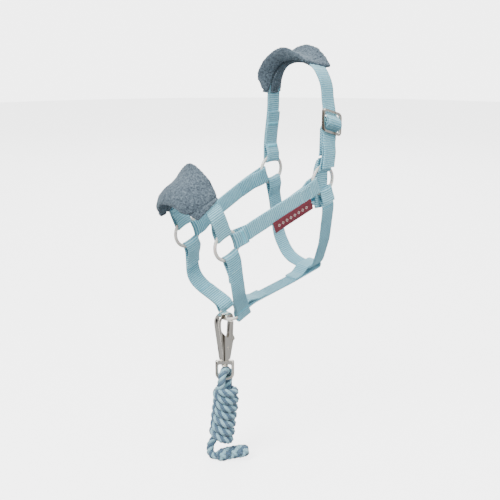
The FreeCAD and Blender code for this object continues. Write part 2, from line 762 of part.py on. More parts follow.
hole.setExpression("Length", "Sizes.swivel_top + 1")
made.append(body)

# ------------------------------------------------------------------ lead rope
rope_half = size["rope_diameter"] / 2
bar_middle = eye_bottom + size["swivel_bar"] / 2
rope_place = eye_place + Vector(0, 0, bar_middle)
eye_hole = math.hypot(size["swivel_bar"], size["swivel_thickness"]) / 2 + 0.3
eye_loop = doc.addObject("Part::Torus", "rope_eye")
eye_loop.Label = "rope_eye"
eye_loop.Radius1 = eye_hole + rope_half
eye_loop.setExpression("Radius2", "Sizes.rope_diameter / 2")
eye_loop.Placement = Placement(rope_place, eye_turn.multiply(along_x))
made.append(eye_loop)

hank_top = -eye_hole - size["rope_diameter"] + 0.8
hank_round = 2.8
hank_lean = Rotation(Vector(0, 1, 0), 2.5)
body = new_body("rope_hank", rope_place, eye_turn.multiply(hank_lean))
sketch = new_sketch(body, "XZ_Plane")
hank_half = size["hank_width"] / 2
hank_bottom = hank_top - size["hank_length"]
draw(sketch, rounded([
    (0, hank_top, 0),
    (hank_half, hank_top, hank_round),
    (hank_half, hank_bottom, hank_round),
    (0, hank_bottom, 0),
], closed=True))
turned = body.newObject("PartDesign::Revolution", "rope_hank_turned")
turned.Profile = sketch
turned.ReferenceAxis = (sketch, ["V_Axis"])
turned.Angle = 360
made.append(body)


def tube(label, points, radius, place, turn):
    """Round rope along straight runs joined by tangent arcs; prints its radii and length."""
    knots = [(*points[0], 0)]
    for before, here, after in zip(points, points[1:], points[2:]):
        a = unit(here, before)
        b = unit(here, after)
        half = math.acos(a[0] * b[0] + a[1] * b[1]) / 2
        shorter = min(math.dist(here, before), math.dist(here, after))
        bend = 0.45 * shorter * math.tan(half)
        knots.append((*here, bend))
        print(label, "bend radius", round(bend, 2))
    knots.append((*points[-1], 0))
    edges = []
    for kind, flat in rounded(knots, closed=False):
        vectors = [Vector(u, 0, v) for u, v in flat]
        curve = Part.Arc(*vectors) if kind == "arc" else Part.LineSegment(*vectors)
        edges.append(curve.toShape())
    path = Part.Wire(edges)
    start = unit(points[0], points[1])
    across = Vector(start[0], 0, start[1])
    section = Part.Wire(Part.makeCircle(radius, Vector(points[0][0], 0, points[0][1]), across))
    item = doc.addObject("Part::Feature", label)
    item.Label = label
    item.Shape = path.makePipeShell([section], True, True)
    item.Placement = Placement(place, turn)
    expected = path.Length * math.pi * radius**2
    print(label, "length", round(path.Length, 1), "volume ratio", round(item.Shape.Volume / expected, 3))
    return item


BIGHT = [(1.0, -44.2), (-10.4, -44.6), (-9.9, -56.0), (1.4, -53.9)]
made.append(tube("rope_bight", BIGHT, rope_half, rope_place, eye_turn))

splice_half = size["splice_diameter"] / 2
splice_length = 15.5
splice_rise = 5.0     # degrees the splice climbs towards its end
body = new_body("rope_end", rope_place + eye_turn.multVec(Vector(BIGHT[-1][0], 0, BIGHT[-1][1])),
                eye_turn.multiply(Rotation(Vector(0, 1, 0), 90 - splice_rise)))
sketch = new_sketch(body, "XZ_Plane")
draw(sketch, rounded([
    (0, 0, 0),
    (splice_half, 0, 2.0),
    (splice_half, splice_length, 2.4),
    (0, splice_length, 0),
], closed=True))
turned = body.newObject("PartDesign::Revolution", "rope_end_turned")
turned.Profile = sketch
turned.ReferenceAxis = (sketch, ["V_Axis"])
turned.Angle = 360
made.append(body)

# ------------------------------------------------------------------ write
doc.recompute()
for item in doc.Objects:
    bad = [state for state in item.State if state in ("Invalid", "Error")]
    if bad:
        raise RuntimeError(f"{item.Label} is {bad}")
os.makedirs("parts", exist_ok=True)
for item in made:
    shape = item.Shape
    if shape.isNull() or not shape.isValid() or not shape.Solids:
        raise RuntimeError(f"{item.Label} has no valid solid")
    shape.exportStep(os.path.join("parts", item.Label + ".step"))
    print(item.Label, len(shape.Solids), "solid", round(shape.Volume, 1), "mm3")
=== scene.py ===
"""Head halter with lead rope: webbing, fleece pads, rings, slider, snap and rope over the CAD frame.

The CAD frame is in metres; sizes here are written in millimetres and turned to metres as a mesh
is placed. A course is a line in the halter's plane, given as knots (u, v, corner radius).
"""
import math

import bpy
import numpy as np
from mathutils import Matrix, Vector, noise


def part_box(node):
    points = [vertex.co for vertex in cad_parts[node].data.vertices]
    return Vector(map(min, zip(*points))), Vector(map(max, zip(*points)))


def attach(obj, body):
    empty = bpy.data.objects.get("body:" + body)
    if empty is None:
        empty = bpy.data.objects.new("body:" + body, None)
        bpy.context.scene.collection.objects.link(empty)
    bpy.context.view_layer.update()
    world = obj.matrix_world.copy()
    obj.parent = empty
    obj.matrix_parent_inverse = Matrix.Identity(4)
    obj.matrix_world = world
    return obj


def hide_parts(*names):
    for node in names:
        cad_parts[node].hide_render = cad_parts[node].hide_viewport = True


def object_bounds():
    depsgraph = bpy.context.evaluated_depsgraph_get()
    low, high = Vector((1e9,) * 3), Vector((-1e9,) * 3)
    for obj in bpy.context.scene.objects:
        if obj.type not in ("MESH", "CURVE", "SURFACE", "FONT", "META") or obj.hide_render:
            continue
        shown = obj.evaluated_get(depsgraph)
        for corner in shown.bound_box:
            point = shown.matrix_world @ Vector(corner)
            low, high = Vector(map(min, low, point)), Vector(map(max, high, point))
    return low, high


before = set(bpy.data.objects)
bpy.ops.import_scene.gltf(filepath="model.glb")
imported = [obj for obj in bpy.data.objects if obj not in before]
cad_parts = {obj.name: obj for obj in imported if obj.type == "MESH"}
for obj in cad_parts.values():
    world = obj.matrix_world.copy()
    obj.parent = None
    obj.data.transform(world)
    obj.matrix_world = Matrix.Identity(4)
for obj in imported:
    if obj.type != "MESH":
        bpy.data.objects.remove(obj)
cad_box = [list(corner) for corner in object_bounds()]

MM = 0.001
X = np.array((1.0, 0.0, 0.0))
Y = np.array((0.0, 1.0, 0.0))
Z = np.array((0.0, 0.0, 1.0))


# ------------------------------------------------------------------ small tools
def unit(v):
    """A vector's direction."""
    return v / np.linalg.norm(v)


def ramp(x, low, high):
    """Smooth step from 0 at low to 1 at high."""
    k = np.clip((x - low) / (high - low), 0.0, 1.0)
    return k * k * (3 - 2 * k)


def deselect():
    """Nothing stays selected."""
    bpy.ops.object.select_all(action="DESELECT")


def pick(piece):
    """Only this piece is selected and active."""
    deselect()
    piece.select_set(True)
    bpy.context.view_layer.objects.active = piece


def apply_modifier(piece, kind, **settings):
    """Add a modifier with its settings and apply it."""
    pick(piece)
    modifier = piece.modifiers.new(kind.title(), kind)
    for key, value in settings.items():
        setattr(modifier, key, value)
    bpy.ops.object.modifier_apply(modifier=modifier.name)


def outward(piece, merge=0.0):
    """Merge doubles if asked, and turn every face outwards."""
    pick(piece)
    bpy.ops.object.mode_set(mode="EDIT")
    bpy.ops.mesh.select_all(action="SELECT")
    if merge:
        bpy.ops.mesh.remove_doubles(threshold=merge)
    bpy.ops.mesh.normals_make_consistent(inside=False)
    bpy.ops.object.mode_set(mode="OBJECT")


def smooth(piece, angle=math.radians(55)):
    """Smooth shading, with edges kept where faces meet sharply."""
    pick(piece)
    bpy.ops.object.shade_smooth_by_angle(angle=angle)


def coords(piece):
    """A mesh's vertices as an array, in millimetres."""
    flat = np.empty(len(piece.data.vertices) * 3)
    piece.data.vertices.foreach_get("co", flat)
    return flat.reshape(-1, 3) / MM


def set_coords(piece, points):
    """Write a mesh's vertices from an array in millimetres."""
    piece.data.vertices.foreach_set("co", (points * MM).ravel())
    piece.data.update()


def joined(pieces, name):
    """Several pieces made one."""
    deselect()
    for piece in pieces:
        piece.select_set(True)
    bpy.context.view_layer.objects.active = pieces[0]
    bpy.ops.object.join()
    whole = bpy.context.view_layer.objects.active
    whole.name = name
    whole.data.name = name
    return whole


def dress(piece, finish, body, slot, *nodes):
    """Give a piece its finish and its body, and hide the CAD nodes it stands for; the slot is not used.
    """
    piece.data.materials.clear()
    piece.data.materials.append(finish)
    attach(piece, body)
    if nodes:
        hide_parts(*nodes)
    return piece


def middle(node):
    """Middle of a CAD node's box, in millimetres."""
    low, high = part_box(node)
    return (np.array(low) + np.array(high)) / 2 / MM


# ------------------------------------------------------------------ sizes that follow the frame
WEB = 10.0            # webbing width
THICK = 1.3           # webbing thickness
RIB_PITCH = 1.3       # from rib to rib along the webbing
RIB_HEIGHT = 0.1      # a rib above and below the middle of the face
RING = 8.5            # ring centre to the middle of its wire
WIRE = 1.0            # ring wire radius
FOLD = WIRE + 0.2 + THICK / 2
SLACK = 0.9           # room left inside a fold, so that it can run straight past a curved wire
CUP = 0.35            # how far the webbing follows the ring's curve
SEWN = THICK - 0.1    # from layer to layer where they are sewn

UPPER = middle("upper_ring_near") * (Y + Z)
LOWER = middle("lower_ring_near") * (Y + Z)
CHIN = middle("chin_ring")
UPPER_X = middle("upper_ring_near")[0]
LOWER_X = middle("lower_ring_near")[0]
UPPER_OUT = UPPER_X + FOLD
LOWER_OUT = LOWER_X + FOLD
NOSE_LEAN = math.radians(22.5)
THROAT_LEAN = math.radians(12.3)
CHEEK_LEAN = -math.atan2(UPPER[1] - LOWER[1], UPPER[2] - LOWER[2])
CHEEK_LENGTH = np.linalg.norm(UPPER - LOWER)
CROWN_TOP = 72.0
CHIN_DROP = 54.4


class Plane:
    """A plane of the halter: where a course's u and v go, and which way its width lies."""

    def __init__(self, origin, lean, u_axis="across"):
        back = np.array((0.0, math.cos(lean), math.sin(lean)))
        up = np.array((0.0, -math.sin(lean), math.cos(lean)))
        self.origin = origin
        self.v = up
        if u_axis == "across":
            self.u, self.w = X, back
        else:
            self.u, self.w = back, X

    def point(self, u, v, w):
        """Points in the frame, in millimetres."""
        u, v, w = (np.asarray(c, float)[..., None] for c in (u, v, w))
        return self.origin + u * self.u + v * self.v + w * self.w


CROWN = Plane(UPPER, 0.0)
CHEEK = Plane(UPPER, CHEEK_LEAN)
NOSE = Plane(LOWER, NOSE_LEAN)
THROAT = Plane(UPPER, THROAT_LEAN)
JAW = Plane(CHIN, NOSE_LEAN, "back")


COURSE_STEP = 0.1


class Course:
    """Straight runs with rounded corners, measured along their length."""

    def __init__(self, knots):
        line = [np.array(knots[0][:2], float)]
        for before, here, after in zip(knots, knots[1:], knots[2:]):
            line += self.corner(before, here, after)
        line.append(np.array(knots[-1][:2], float))
        line = np.array(line)
        run = np.concatenate(([0.0], np.cumsum(np.linalg.norm(np.diff(line, axis=0), axis=1))))
        self.length = run[-1]
        self.s = np.linspace(0.0, self.length, int(self.length / COURSE_STEP) + 2)
        self.u = np.interp(self.s, run, line[:, 0])
        self.v = np.interp(self.s, run, line[:, 1])
        du = np.gradient(self.u, self.s)
        dv = np.gradient(self.v, self.s)
        size = np.hypot(du, dv)
        self.nu = -dv / size
        self.nv = du / size

    @staticmethod
    def corner(before, here, after):
        """Points round one knot's arc."""
        corner = np.array(here[:2], float)
        radius = here[2]
        if radius == 0:
            return [corner]
        a = unit(np.array(before[:2]) - corner)
        b = unit(np.array(after[:2]) - corner)
        half = math.acos(max(-1.0, min(1.0, float(a @ b)))) / 2
        centre = corner + unit(a + b) * radius / math.sin(half)
        arm = corner + a * radius / math.tan(half) - centre
        sweep = math.pi - 2 * half
        if a[0] * b[1] - a[1] * b[0] > 0:
            sweep = -sweep
        points = []
        count = max(3, int(abs(sweep) / 0.1))
        for k in range(count + 1):
            c = math.cos(sweep * k / count)
            s = math.sin(sweep * k / count)
            points.append(centre + np.array((c * arm[0] - s * arm[1], s * arm[0] + c * arm[1])))
        return points

    def at(self, s, h):
        """Points at a distance along the course and a height off it."""
        nu = np.interp(s, self.s, self.nu)
        nv = np.interp(s, self.s, self.nv)
        return np.interp(s, self.s, self.u) + nu * h, np.interp(s, self.s, self.v) + nv * h

    def nearest(self, u, v):
        """Distance along, and height off the course, of points in its plane."""
        best = np.empty(len(u), int)
        for start in range(0, len(u), 4000):
            part = slice(start, start + 4000)
            far = (u[part, None] - self.u) ** 2 + (v[part, None] - self.v) ** 2
            best[part] = far.argmin(axis=1)
        h = (u - self.u[best]) * self.nu[best] + (v - self.v[best]) * self.nv[best]
        return self.s[best], h


# ------------------------------------------------------------------ finishes
class Number:
    """A shader's number; sums on it add Math nodes."""

    def __init__(self, finish, socket):
        self.finish = finish
        self.socket = socket

    def maths(self, operation, *values):
        """One Math node."""
        settings = {"operation": operation}
        node = self.finish.node("ShaderNodeMath", settings, dict(enumerate(values)))
        return Number(self.finish, node.outputs[0])

    def __add__(self, other):
        return self.maths("ADD", self, other)

    __radd__ = __add__

    def __sub__(self, other):
        return self.maths("SUBTRACT", self, other)

    def __rsub__(self, other):
        return self.maths("SUBTRACT", other, self)

    def __mul__(self, other):
        return self.maths("MULTIPLY", self, other)

    __rmul__ = __mul__

    def __truediv__(self, other):
        return self.maths("DIVIDE", self, other)

    def sine(self):
        """The sine."""
        return self.maths("SINE", self)

    def size(self):
        """The value without its sign."""
        return self.maths("ABSOLUTE", self)

    def above(self, level):
        """1 where the value is above a level."""
        return self.maths("GREATER_THAN", self, level)

    def whole(self):
        """The value rounded down."""
        return self.maths("FLOOR", self)

    def rest(self):
        """The part after the point."""
        return self.maths("FRACT", self)


class Finish:
    """A material built node by node on one Principled shader."""

    def __init__(self, name, **constants):
        self.material = bpy.data.materials.new(name)
        self.material.use_nodes = True
        self.tree = self.material.node_tree
        self.tree.nodes.clear()
        values = {key.replace("_", " "): value for key, value in constants.items()}
        self.shader = self.node("ShaderNodeBsdfPrincipled", {}, values)
        self.node("ShaderNodeOutputMaterial", {}, {"Surface": self.shader.outputs[0]})
        self.place = self.node("ShaderNodeTexCoord", {}, {})

    def node(self, kind, settings, values):
        """A node with its settings, then the values or links of its sockets."""
        node = self.tree.nodes.new(kind)
        for key, value in settings.items():
            if key == "stops":
                while len(node.color_ramp.elements) < len(value):
                    node.color_ramp.elements.new(0.5)
                for element, (position, colour) in zip(node.color_ramp.elements, value):
                    element.position = position
                    element.color = (*colour, 1.0)
            else:
                setattr(node, key, value)
        for key, value in values.items():
            socket = node.inputs[key]
            if isinstance(value, Number):
                value = value.socket
            if isinstance(value, bpy.types.NodeSocket):
                self.tree.links.new(value, socket)
            else:
                socket.default_value = value
        return node

    def uv(self):
        """The piece's own map: across and along, in millimetres."""
        parts = self.node("ShaderNodeSeparateXYZ", {}, {0: self.place.outputs["UV"]})
        return Number(self, parts.outputs[0]), Number(self, parts.outputs[1])

    def grain(self, scale, detail=3.0, roughness=0.55, stretch=None):
        """Noise on the piece's own place, scale in cycles per metre."""
        source = self.place.outputs["Object"]
        if stretch:
            turned = self.node("ShaderNodeMapping", {}, {"Vector": source, "Scale": stretch})
            source = turned.outputs[0]
        values = {"Vector": source, "Scale": scale, "Detail": detail, "Roughness": roughness}
        node = self.node("ShaderNodeTexNoise", {}, values)
        return Number(self, node.outputs[0])

    def cells(self, scale):
        """Distance to the nearest tuft of a pile, scale in cycles per metre."""
        values = {"Vector": self.place.outputs["Object"], "Scale": scale}
        return Number(self, self.node("ShaderNodeTexVoronoi", {}, values).outputs[0])

    def shades(self, factor, *stops):
        """A colour between stops."""
        node = self.node("ShaderNodeValToRGB", {"stops": stops}, {0: factor})
        return node.outputs[0]

    def blend(self, factor, first, second):
        """One colour over another."""
        settings = {"data_type": "RGBA"}
        node = self.node("ShaderNodeMix", settings, {0: factor, 6: first, 7: second})
        return node.outputs[2]

    def relief(self, height, depth, strength=1.0):
        """Bump from a height, its depth in metres."""
        values = {"Strength": strength, "Distance": depth, "Height": height}
        return self.node("ShaderNodeBump", {}, values).outputs[0]

    def put(self, **sockets):
        """Feed the shader."""
        for key, value in sockets.items():
            if isinstance(value, Number):
                value = value.socket
            self.tree.links.new(value, self.shader.inputs[key.replace("_", " ")])
        return self.material


def colour(red, green, blue):
    """A colour from its 0 to 255 screen values."""
    linear = []
    for value in (red, green, blue):
        c = value / 255
        linear.append(c / 12.92 if c <= 0.04045 else ((c + 0.055) / 1.055) ** 2.4)
    return tuple(linear)


def opaque(rgb):
    """A colour with its alpha."""
    return (*rgb, 1.0)


def webbing_finish():
    """Pale blue ribbed webbing: weft ribs, fine warp yarns, painted shade in the rib troughs and
    between the yarns, and a slightly uneven dye.
    """
    cloth = Finish("webbing_blue", Sheen_Weight=0.25, Sheen_Roughness=0.6)
    across, along = cloth.uv()
    rib = (along * (2 * math.pi / RIB_PITCH)).sine()
    row = (along / RIB_PITCH).whole()
    warp = ((across / 0.42) + row * 0.5).rest()
    yarn = (warp - 0.5).size() * 2.0
    mottle = cloth.grain(900.0, 4.0)
    cloud = cloth.grain(70.0, 2.0)
    # Painted shade: the colour is darker in the rib troughs and between the warp yarns, where the bump
    # is low; mottle and cloud are the uneven dye.
    tone = 0.50 + rib * 0.3 - yarn * 0.16 + (mottle - 0.5) * 0.5 + (cloud - 0.5) * 0.35
    shade = cloth.shades(
        tone,
        (0.0, colour(70, 142, 168)),
        (0.45, colour(136, 204, 222)),
        (1.0, colour(194, 238, 248)),
    )
    height = rib * 0.7 + (1 - yarn) * 0.45 + mottle * 0.3
    return cloth.put(
        Base_Color=shade,
        Roughness=0.74 + (mottle - 0.5) * 0.3,
        Normal=cloth.relief(height, 0.00012, 0.8),
    )


def fleece_finish():
    """Slate blue brushed fleece: short clumped pile over a knit ground, with painted shade in the gaps
    between tufts.
    """
    pile = Finish("fleece_slate", Sheen_Weight=0.7, Sheen_Roughness=0.45,
                  Sheen_Tint=opaque(colour(176, 192, 204)), Specular_IOR_Level=0.15)
    tuft = pile.cells(1150.0)
    clump = pile.grain(760.0, 5.0, 0.7)
    hair = pile.grain(2600.0, 3.0, 0.7)
    cloud = pile.grain(60.0, 2.0)
    # The clump and hair noise give a random speckle; the tuft term darkens the gaps between tufts,
    # where the bump sinks, as painted shade.
    tone = 0.56 + (clump - 0.5) * 1.7 + (hair - 0.5) * 0.9 - tuft * 0.35 + (cloud - 0.5) * 0.4
    shade = pile.shades(
        tone,
        (0.0, colour(52, 62, 71)),
        (0.42, colour(92, 106, 117)),
        (0.75, colour(124, 139, 149)),
        (1.0, colour(164, 177, 185)),
    )
    height = clump * 1.2 + hair * 0.4 - tuft * 0.8
    return pile.put(
        Base_Color=shade,
        Roughness=0.9 + (hair - 0.5) * 0.15,
        Normal=pile.relief(height, 0.0005, 0.9),
    )


def ring_finish():
    """Ivory moulded plastic, glossy, with a faint flow mark and handling scuffs."""
    gloss = Finish("ring_ivory", Coat_Weight=0.5, Coat_Roughness=0.08, IOR=1.5,
                   Subsurface_Weight=0.12, Subsurface_Scale=0.002)
    flow = gloss.grain(160.0, 3.0)
    scuff = gloss.grain(1500.0, 4.0, 0.7)
    shade = gloss.shades(flow, (0.3, colour(226, 221, 212)), (0.7, colour(243, 240, 233)))
    return gloss.put(
        Base_Color=shade,
        Roughness=0.2 + scuff * 0.22,
        Normal=gloss.relief(scuff, 0.00002, 0.35),
    )


def nickel_finish():
    """Bright plated casting: warm nickel with fine polish, its colour painted with drawn-out bright and
    dark reflection bands.
    """
    metal = Finish("nickel_warm", Metallic=1.0)
    wave = metal.grain(150.0, 2.0)
    flow = metal.grain(330.0, 2.0, 0.5, stretch=(1.0, 1.0, 0.07))
    brushed = metal.grain(900.0, 4.0, 0.6, stretch=(1.0, 1.0, 0.15))
    spots = metal.grain(2200.0, 5.0, 0.75)
    # Painted reflection: the base colour runs from dark to bright along noise stretched upright, as
    # bands of mirrored surroundings, mixed with a few small random spots.
    painted_reflection_and_spots = flow * 0.85 + spots * 0.15
    shade = metal.shades(painted_reflection_and_spots, (0.36, colour(112, 104, 92)), (0.47, colour(250, 245, 236)))
    return metal.put(
        Base_Color=shade,
        Roughness=0.07 + brushed * 0.06 + (spots - 0.5) * 0.05,
        Normal=metal.relief(flow * 0.9 + wave * 0.3 + brushed * 0.02, 0.0005, 0.6),
    )


def spring_finish():
    """Dark spring steel wire."""
    steel = Finish("spring_wire_steel", Metallic=1.0)
    drawn = steel.grain(1800.0, 3.0, 0.6, stretch=(1.0, 0.2, 1.0))
    shade = steel.shades(drawn, (0.3, colour(96, 94, 92)), (0.7, colour(146, 143, 138)))
    return steel.put(Base_Color=shade, Roughness=0.25 + drawn * 0.2)


def label_finish():
    """Burgundy satin label: a close weave with painted shade in its weft troughs, and a row of small
    pale lozenges.
    """
    satin = Finish("label_burgundy", Sheen_Weight=0.3, Sheen_Roughness=0.4)
    across, along = satin.uv()
    weft = (along * (2 * math.pi / 0.34)).sine()
    warp = (across * (2 * math.pi / 0.3)).sine()
    mottle = satin.grain(700.0, 3.0)
    # Painted shade: the ground is lighter on the weft crests and darker in their troughs, over a random
    # mottle.
    ground = satin.shades(
        0.5 + weft * 0.12 + (mottle - 0.5) * 0.5,
        (0.0, colour(88, 16, 34)),
        (0.5, colour(122, 26, 47)),
        (1.0, colour(150, 52, 72)),
    )
    beat = ((along / 3.1).rest() - 0.5).size() * 3.1
    lozenge = 1 - (beat / 1.05 + (across - 3.6).size() / 1.15).above(1.0)
    hollow = 1 - (beat / 0.5 + (across - 3.6).size() / 0.55).above(1.0)
    clear_ends = (1 - along.above(27.5)) * along.above(3.2)
    motif = (lozenge - hollow) * clear_ends
    shade = satin.blend(motif * 0.86, ground, opaque(colour(226, 214, 206)))
    return satin.put(
        Base_Color=shade,
        Roughness=0.5 + (mottle - 0.5) * 0.2,
        Normal=satin.relief(weft * 0.5 + warp * 0.4 + motif * 0.8, 0.00009, 0.8),
    )


def yarn_finish(name, dark, mid, light):
    """Twisted rope strand: yarns that run round it, with loose fibres between, and painted shade in the
    grooves between the yarns.
    """
    strand = Finish(name, Sheen_Weight=0.45, Sheen_Roughness=0.5, Specular_IOR_Level=0.25)
    round_it, along = strand.uv()
    twist = ((round_it * 7.0) + along * 0.55).rest()
    yarn = (twist - 0.5).size() * 2.0
    fibre = strand.grain(1900.0, 4.0, 0.7)
    cloud = strand.grain(240.0, 2.0)
    # Painted shade: the colour is darker at each yarn's edges, in the grooves where the bump is low;
    # the fibre and cloud noise are random tone.
    tone = 0.66 - yarn * 0.42 + (fibre - 0.5) * 1.1 + (cloud - 0.5) * 0.5
    shade = strand.shades(tone, (0.0, dark), (0.5, mid), (1.0, light))
    return strand.put(
        Base_Color=shade,
        Roughness=0.8 + (fibre - 0.5) * 0.2,
        Normal=strand.relief((1 - yarn) * 0.7 + fibre * 0.5, 0.00022, 0.9),
    )


def thread_finish(name, base):
    """Sewing thread."""
    thread = Finish(name, Sheen_Weight=0.3)
    ply = thread.grain(3500.0, 2.0)
    low = tuple(c * 0.72 for c in base)
    shade = thread.shades(ply, (0.3, low), (0.7, base))
    return thread.put(Base_Color=shade, Roughness=0.5 + ply * 0.2)


WEBBING = webbing_finish()
FLEECE = fleece_finish()
IVORY = ring_finish()
NICKEL = nickel_finish()
SPRING = spring_finish()
LABEL = label_finish()
ROPE_LIGHT = yarn_finish("rope_pale", colour(84, 134, 158), colour(158, 206, 220),
                         colour(220, 242, 247))
ROPE_SLATE = yarn_finish("rope_slate", colour(40, 62, 84), colour(88, 118, 142),
                         colour(140, 166, 184))
THREAD = thread_finish("thread_pale", colour(182, 236, 246))
THREAD_BRIGHT = thread_finish("thread_bright", colour(140, 228, 248))

# ------------------------------------------------------------------ camera
# It stands in front and on the near side, a little above, and looks slightly down.
AZIMUTH = math.radians(49.19)
ELEVATION = math.radians(16.86)
LENS = 54.72          # focal length on a 36 mm wide sensor
CAMERA_BACK = 484.29  # from the upper rings' middle: back along the view, left and down
CAMERA_LEFT = 29.3442
CAMERA_DOWN = 48.3016
right = np.array((math.cos(AZIMUTH), math.sin(AZIMUTH), 0.0))
view = np.array((-math.sin(AZIMUTH) * math.cos(ELEVATION),
                 math.cos(AZIMUTH) * math.cos(ELEVATION), -math.sin(ELEVATION)))
up = np.cross(right, view)
eye = (Z * UPPER[2] - CAMERA_BACK * view - CAMERA_LEFT * right - CAMERA_DOWN * up) * MM
camera = bpy.data.objects.new("camera", bpy.data.cameras.new("camera"))
bpy.context.scene.collection.objects.link(camera)
camera.data.sensor_width = 36.0
camera.data.lens = LENS
camera.data.clip_start = 0.01
camera.matrix_world = Matrix((
    (right[0], up[0], -view[0], eye[0]),
    (right[1], up[1], -view[1], eye[1]),
    (right[2], up[2], -view[2], eye[2]),
    (0, 0, 0, 1),
))
bpy.context.scene.camera = camera

# ------------------------------------------------------------------ lead rope
ROPE_TURN = math.radians(50)
BAR_HALF = 1.1        # swivel bar radius
BAR_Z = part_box("swivel_eye")[0][2] / MM + BAR_HALF
BAR = np.array((CHIN[0], CHIN[1] - RING * math.cos(NOSE_LEAN), BAR_Z))
ROPE_RIGHT = np.array((math.cos(ROPE_TURN), math.sin(ROPE_TURN), 0.0))
ROPE_BACK = np.array((-math.sin(ROPE_TURN), math.cos(ROPE_TURN), 0.0))


def rope_point(x, y, z):
    """A point from the swivel bar: to its right, behind it and up."""
    return BAR + ROPE_RIGHT * x + ROPE_BACK * y + Z * z


EYE_ROUTE = [
    (0.6, 1.2, -23.0), (0.6, 1.3, -17.5), (0.9, 1.8, -12.5), (1.6, 3.2, -8.0),
    (2.3, 4.7, -3.6), (2.3, 4.6, 1.2), (1.4, 2.9, 4.6), (0.1, 0.0, 5.7),
    (-1.2, -2.9, 4.6), (-2.0, -4.6, 1.2), (-2.4, -5.0, -3.4),
]
TURNS = 7
PER_TURN = 12
TURN_START = math.radians(222)
HANK_TOP = -6.6
HANK_PITCH = 5.45
HANK_RADIUS = 6.2
HANK_UNEVEN = 0.35    # some turns are wider than others
HANK_SWAY = 4.2       # how far its foot hangs to the left
LAST_TURN_LEFT = 3    # points of the last turn that the bight takes instead


def hank_route():
    """Turns of the hank from its top down: they slope, and the hank sways left below."""
    points = []
    for k in range(TURNS * PER_TURN - LAST_TURN_LEFT):
        angle = TURN_START + 2 * math.pi * k / PER_TURN
        z = HANK_TOP - HANK_PITCH * k / PER_TURN
        low = k / (TURNS * PER_TURN)
        uneven = HANK_UNEVEN * math.sin(5.04 * k / PER_TURN + 0.6)
        radius = HANK_RADIUS + uneven - 0.3 * low
        sway = 0.5 * math.sin(math.pi * low) - HANK_SWAY * low**2.2
        x = radius * math.cos(angle)
        y = 0.96 * radius * math.sin(angle)
        tilt = (0.5 + 1.9 * low) * x / HANK_RADIUS
        points.append((x + sway, y, z - tilt))
    return points


BIGHT_ROUTE = [
    (-8.6, 2.6, -46.4), (-10.4, 1.2, -49.6), (-9.9, 0.0, -55.4), (-5.0, -0.6, -56.0),
    (0.6, -0.6, -54.0), (5.0, -0.4, -53.2), (10.0, -0.2, -52.6), (14.4, 0.0, -52.0),
]
route = [rope_point(*p) for p in EYE_ROUTE + hank_route() + BIGHT_ROUTE]


def rope_spline(points):
    """The lead rope's line as one NURBS spline, and the points that follow it."""
    data = bpy.data.curves.new("lead_rope_line", "CURVE")
    data.dimensions = "3D"
    data.resolution_u = 10
    spline = data.splines.new("NURBS")
    spline.points.add(len(points) - 1)
    for knot, point in zip(spline.points, points):
        knot.co = (*(point * MM), 1.0)
    spline.order_u = 3
    spline.use_endpoint_u = True
    line = bpy.data.objects.new("lead_rope_line", data)
    bpy.context.scene.collection.objects.link(line)
    bpy.context.view_layer.update()
    mesh = bpy.data.meshes.new_from_object(line)
    found = np.array([v.co for v in mesh.vertices]) / MM
    bpy.data.meshes.remove(mesh)
    bpy.data.objects.remove(line)
    return found


def even(points, step):
    """Points the same distance apart along a line."""
    run = np.concatenate(([0.0], np.cumsum(np.linalg.norm(np.diff(points, axis=0), axis=1))))
    s = np.linspace(0, run[-1], int(run[-1] / step) + 1)
    return s, np.stack([np.interp(s, run, points[:, i]) for i in range(3)], axis=1)


def carried_frames(points):
    """Two directions across a line at each point, carried along it without a twist."""
    tangent = np.gradient(points, axis=0)
    tangent /= np.linalg.norm(tangent, axis=1)[:, None]
    first = np.empty_like(points)
    first[0] = unit(np.cross(tangent[0], X + 0.3 * Z))
    for i in range(1, len(points)):
        carried = first[i - 1] - tangent[i] * (first[i - 1] @ tangent[i])
        first[i] = unit(carried)
    return tangent, first, np.cross(tangent, first)


def tube(name, line, radius, sides=10):
    """Closed tube round a line, with its map: round it 0 to 1, along it in millimetres."""
    tangent, first, second = carried_frames(line)
    count = len(line)
    radius = np.broadcast_to(radius, count)
    angle = np.arange(sides) * 2 * math.pi / sides
    ring = (np.cos(angle)[None, :, None] * first[:, None, :]
            + np.sin(angle)[None, :, None] * second[:, None, :])
    verts = (line[:, None, :] + ring * radius[:, None, None]).reshape(-1, 3)
    ends = np.stack([line[0] - tangent[0] * radius[0] * 0.5, line[-1] + tangent[-1] * radius[-1] * 0.5])
    verts = np.concatenate([verts, ends])
    faces = []
    for i in range(count - 1):
        for j in range(sides):
            k = (j + 1) % sides
            faces.append((i * sides + j, i * sides + k, (i + 1) * sides + k, (i + 1) * sides + j))
    first_pole = count * sides
    for j in range(sides):
        k = (j + 1) % sides
        faces.append((first_pole, k, j))
        faces.append((first_pole + 1, (count - 1) * sides + j, (count - 1) * sides + k))
    mesh = bpy.data.meshes.new(name)
    mesh.from_pydata((verts * MM).tolist(), [], faces)
    run = np.concatenate(([0.0], np.cumsum(np.linalg.norm(np.diff(line, axis=0), axis=1))))
    layer = mesh.uv_layers.new(name="UVMap")
    for polygon in mesh.polygons:
        for corner, index in zip(polygon.loop_indices, polygon.vertices):
            row, column = divmod(min(index, first_pole - 1), sides)
            turn = column / sides
            if column == 0 and any(v % sides == sides - 1 for v in polygon.vertices if v < first_pole):
                turn = 1.0
            layer.data[corner].uv = (turn, run[row])
    piece = bpy.data.objects.new(name, mesh)
    bpy.context.scene.collection.objects.link(piece)
    outward(piece)
    smooth(piece, math.radians(80))
    return piece


def strand_line(points, s, radius, lay, phase, wobble=0.0):
    """A strand's line, wound round the rope's line."""
    _, first, second = carried_frames(points)
    angle = 2 * math.pi * s / lay + phase
    out = radius * (1 + wobble * np.sin(s * 0.9 + phase * 3))
    return points + first * (out * np.cos(angle))[:, None] + second * (out * np.sin(angle))[:, None]


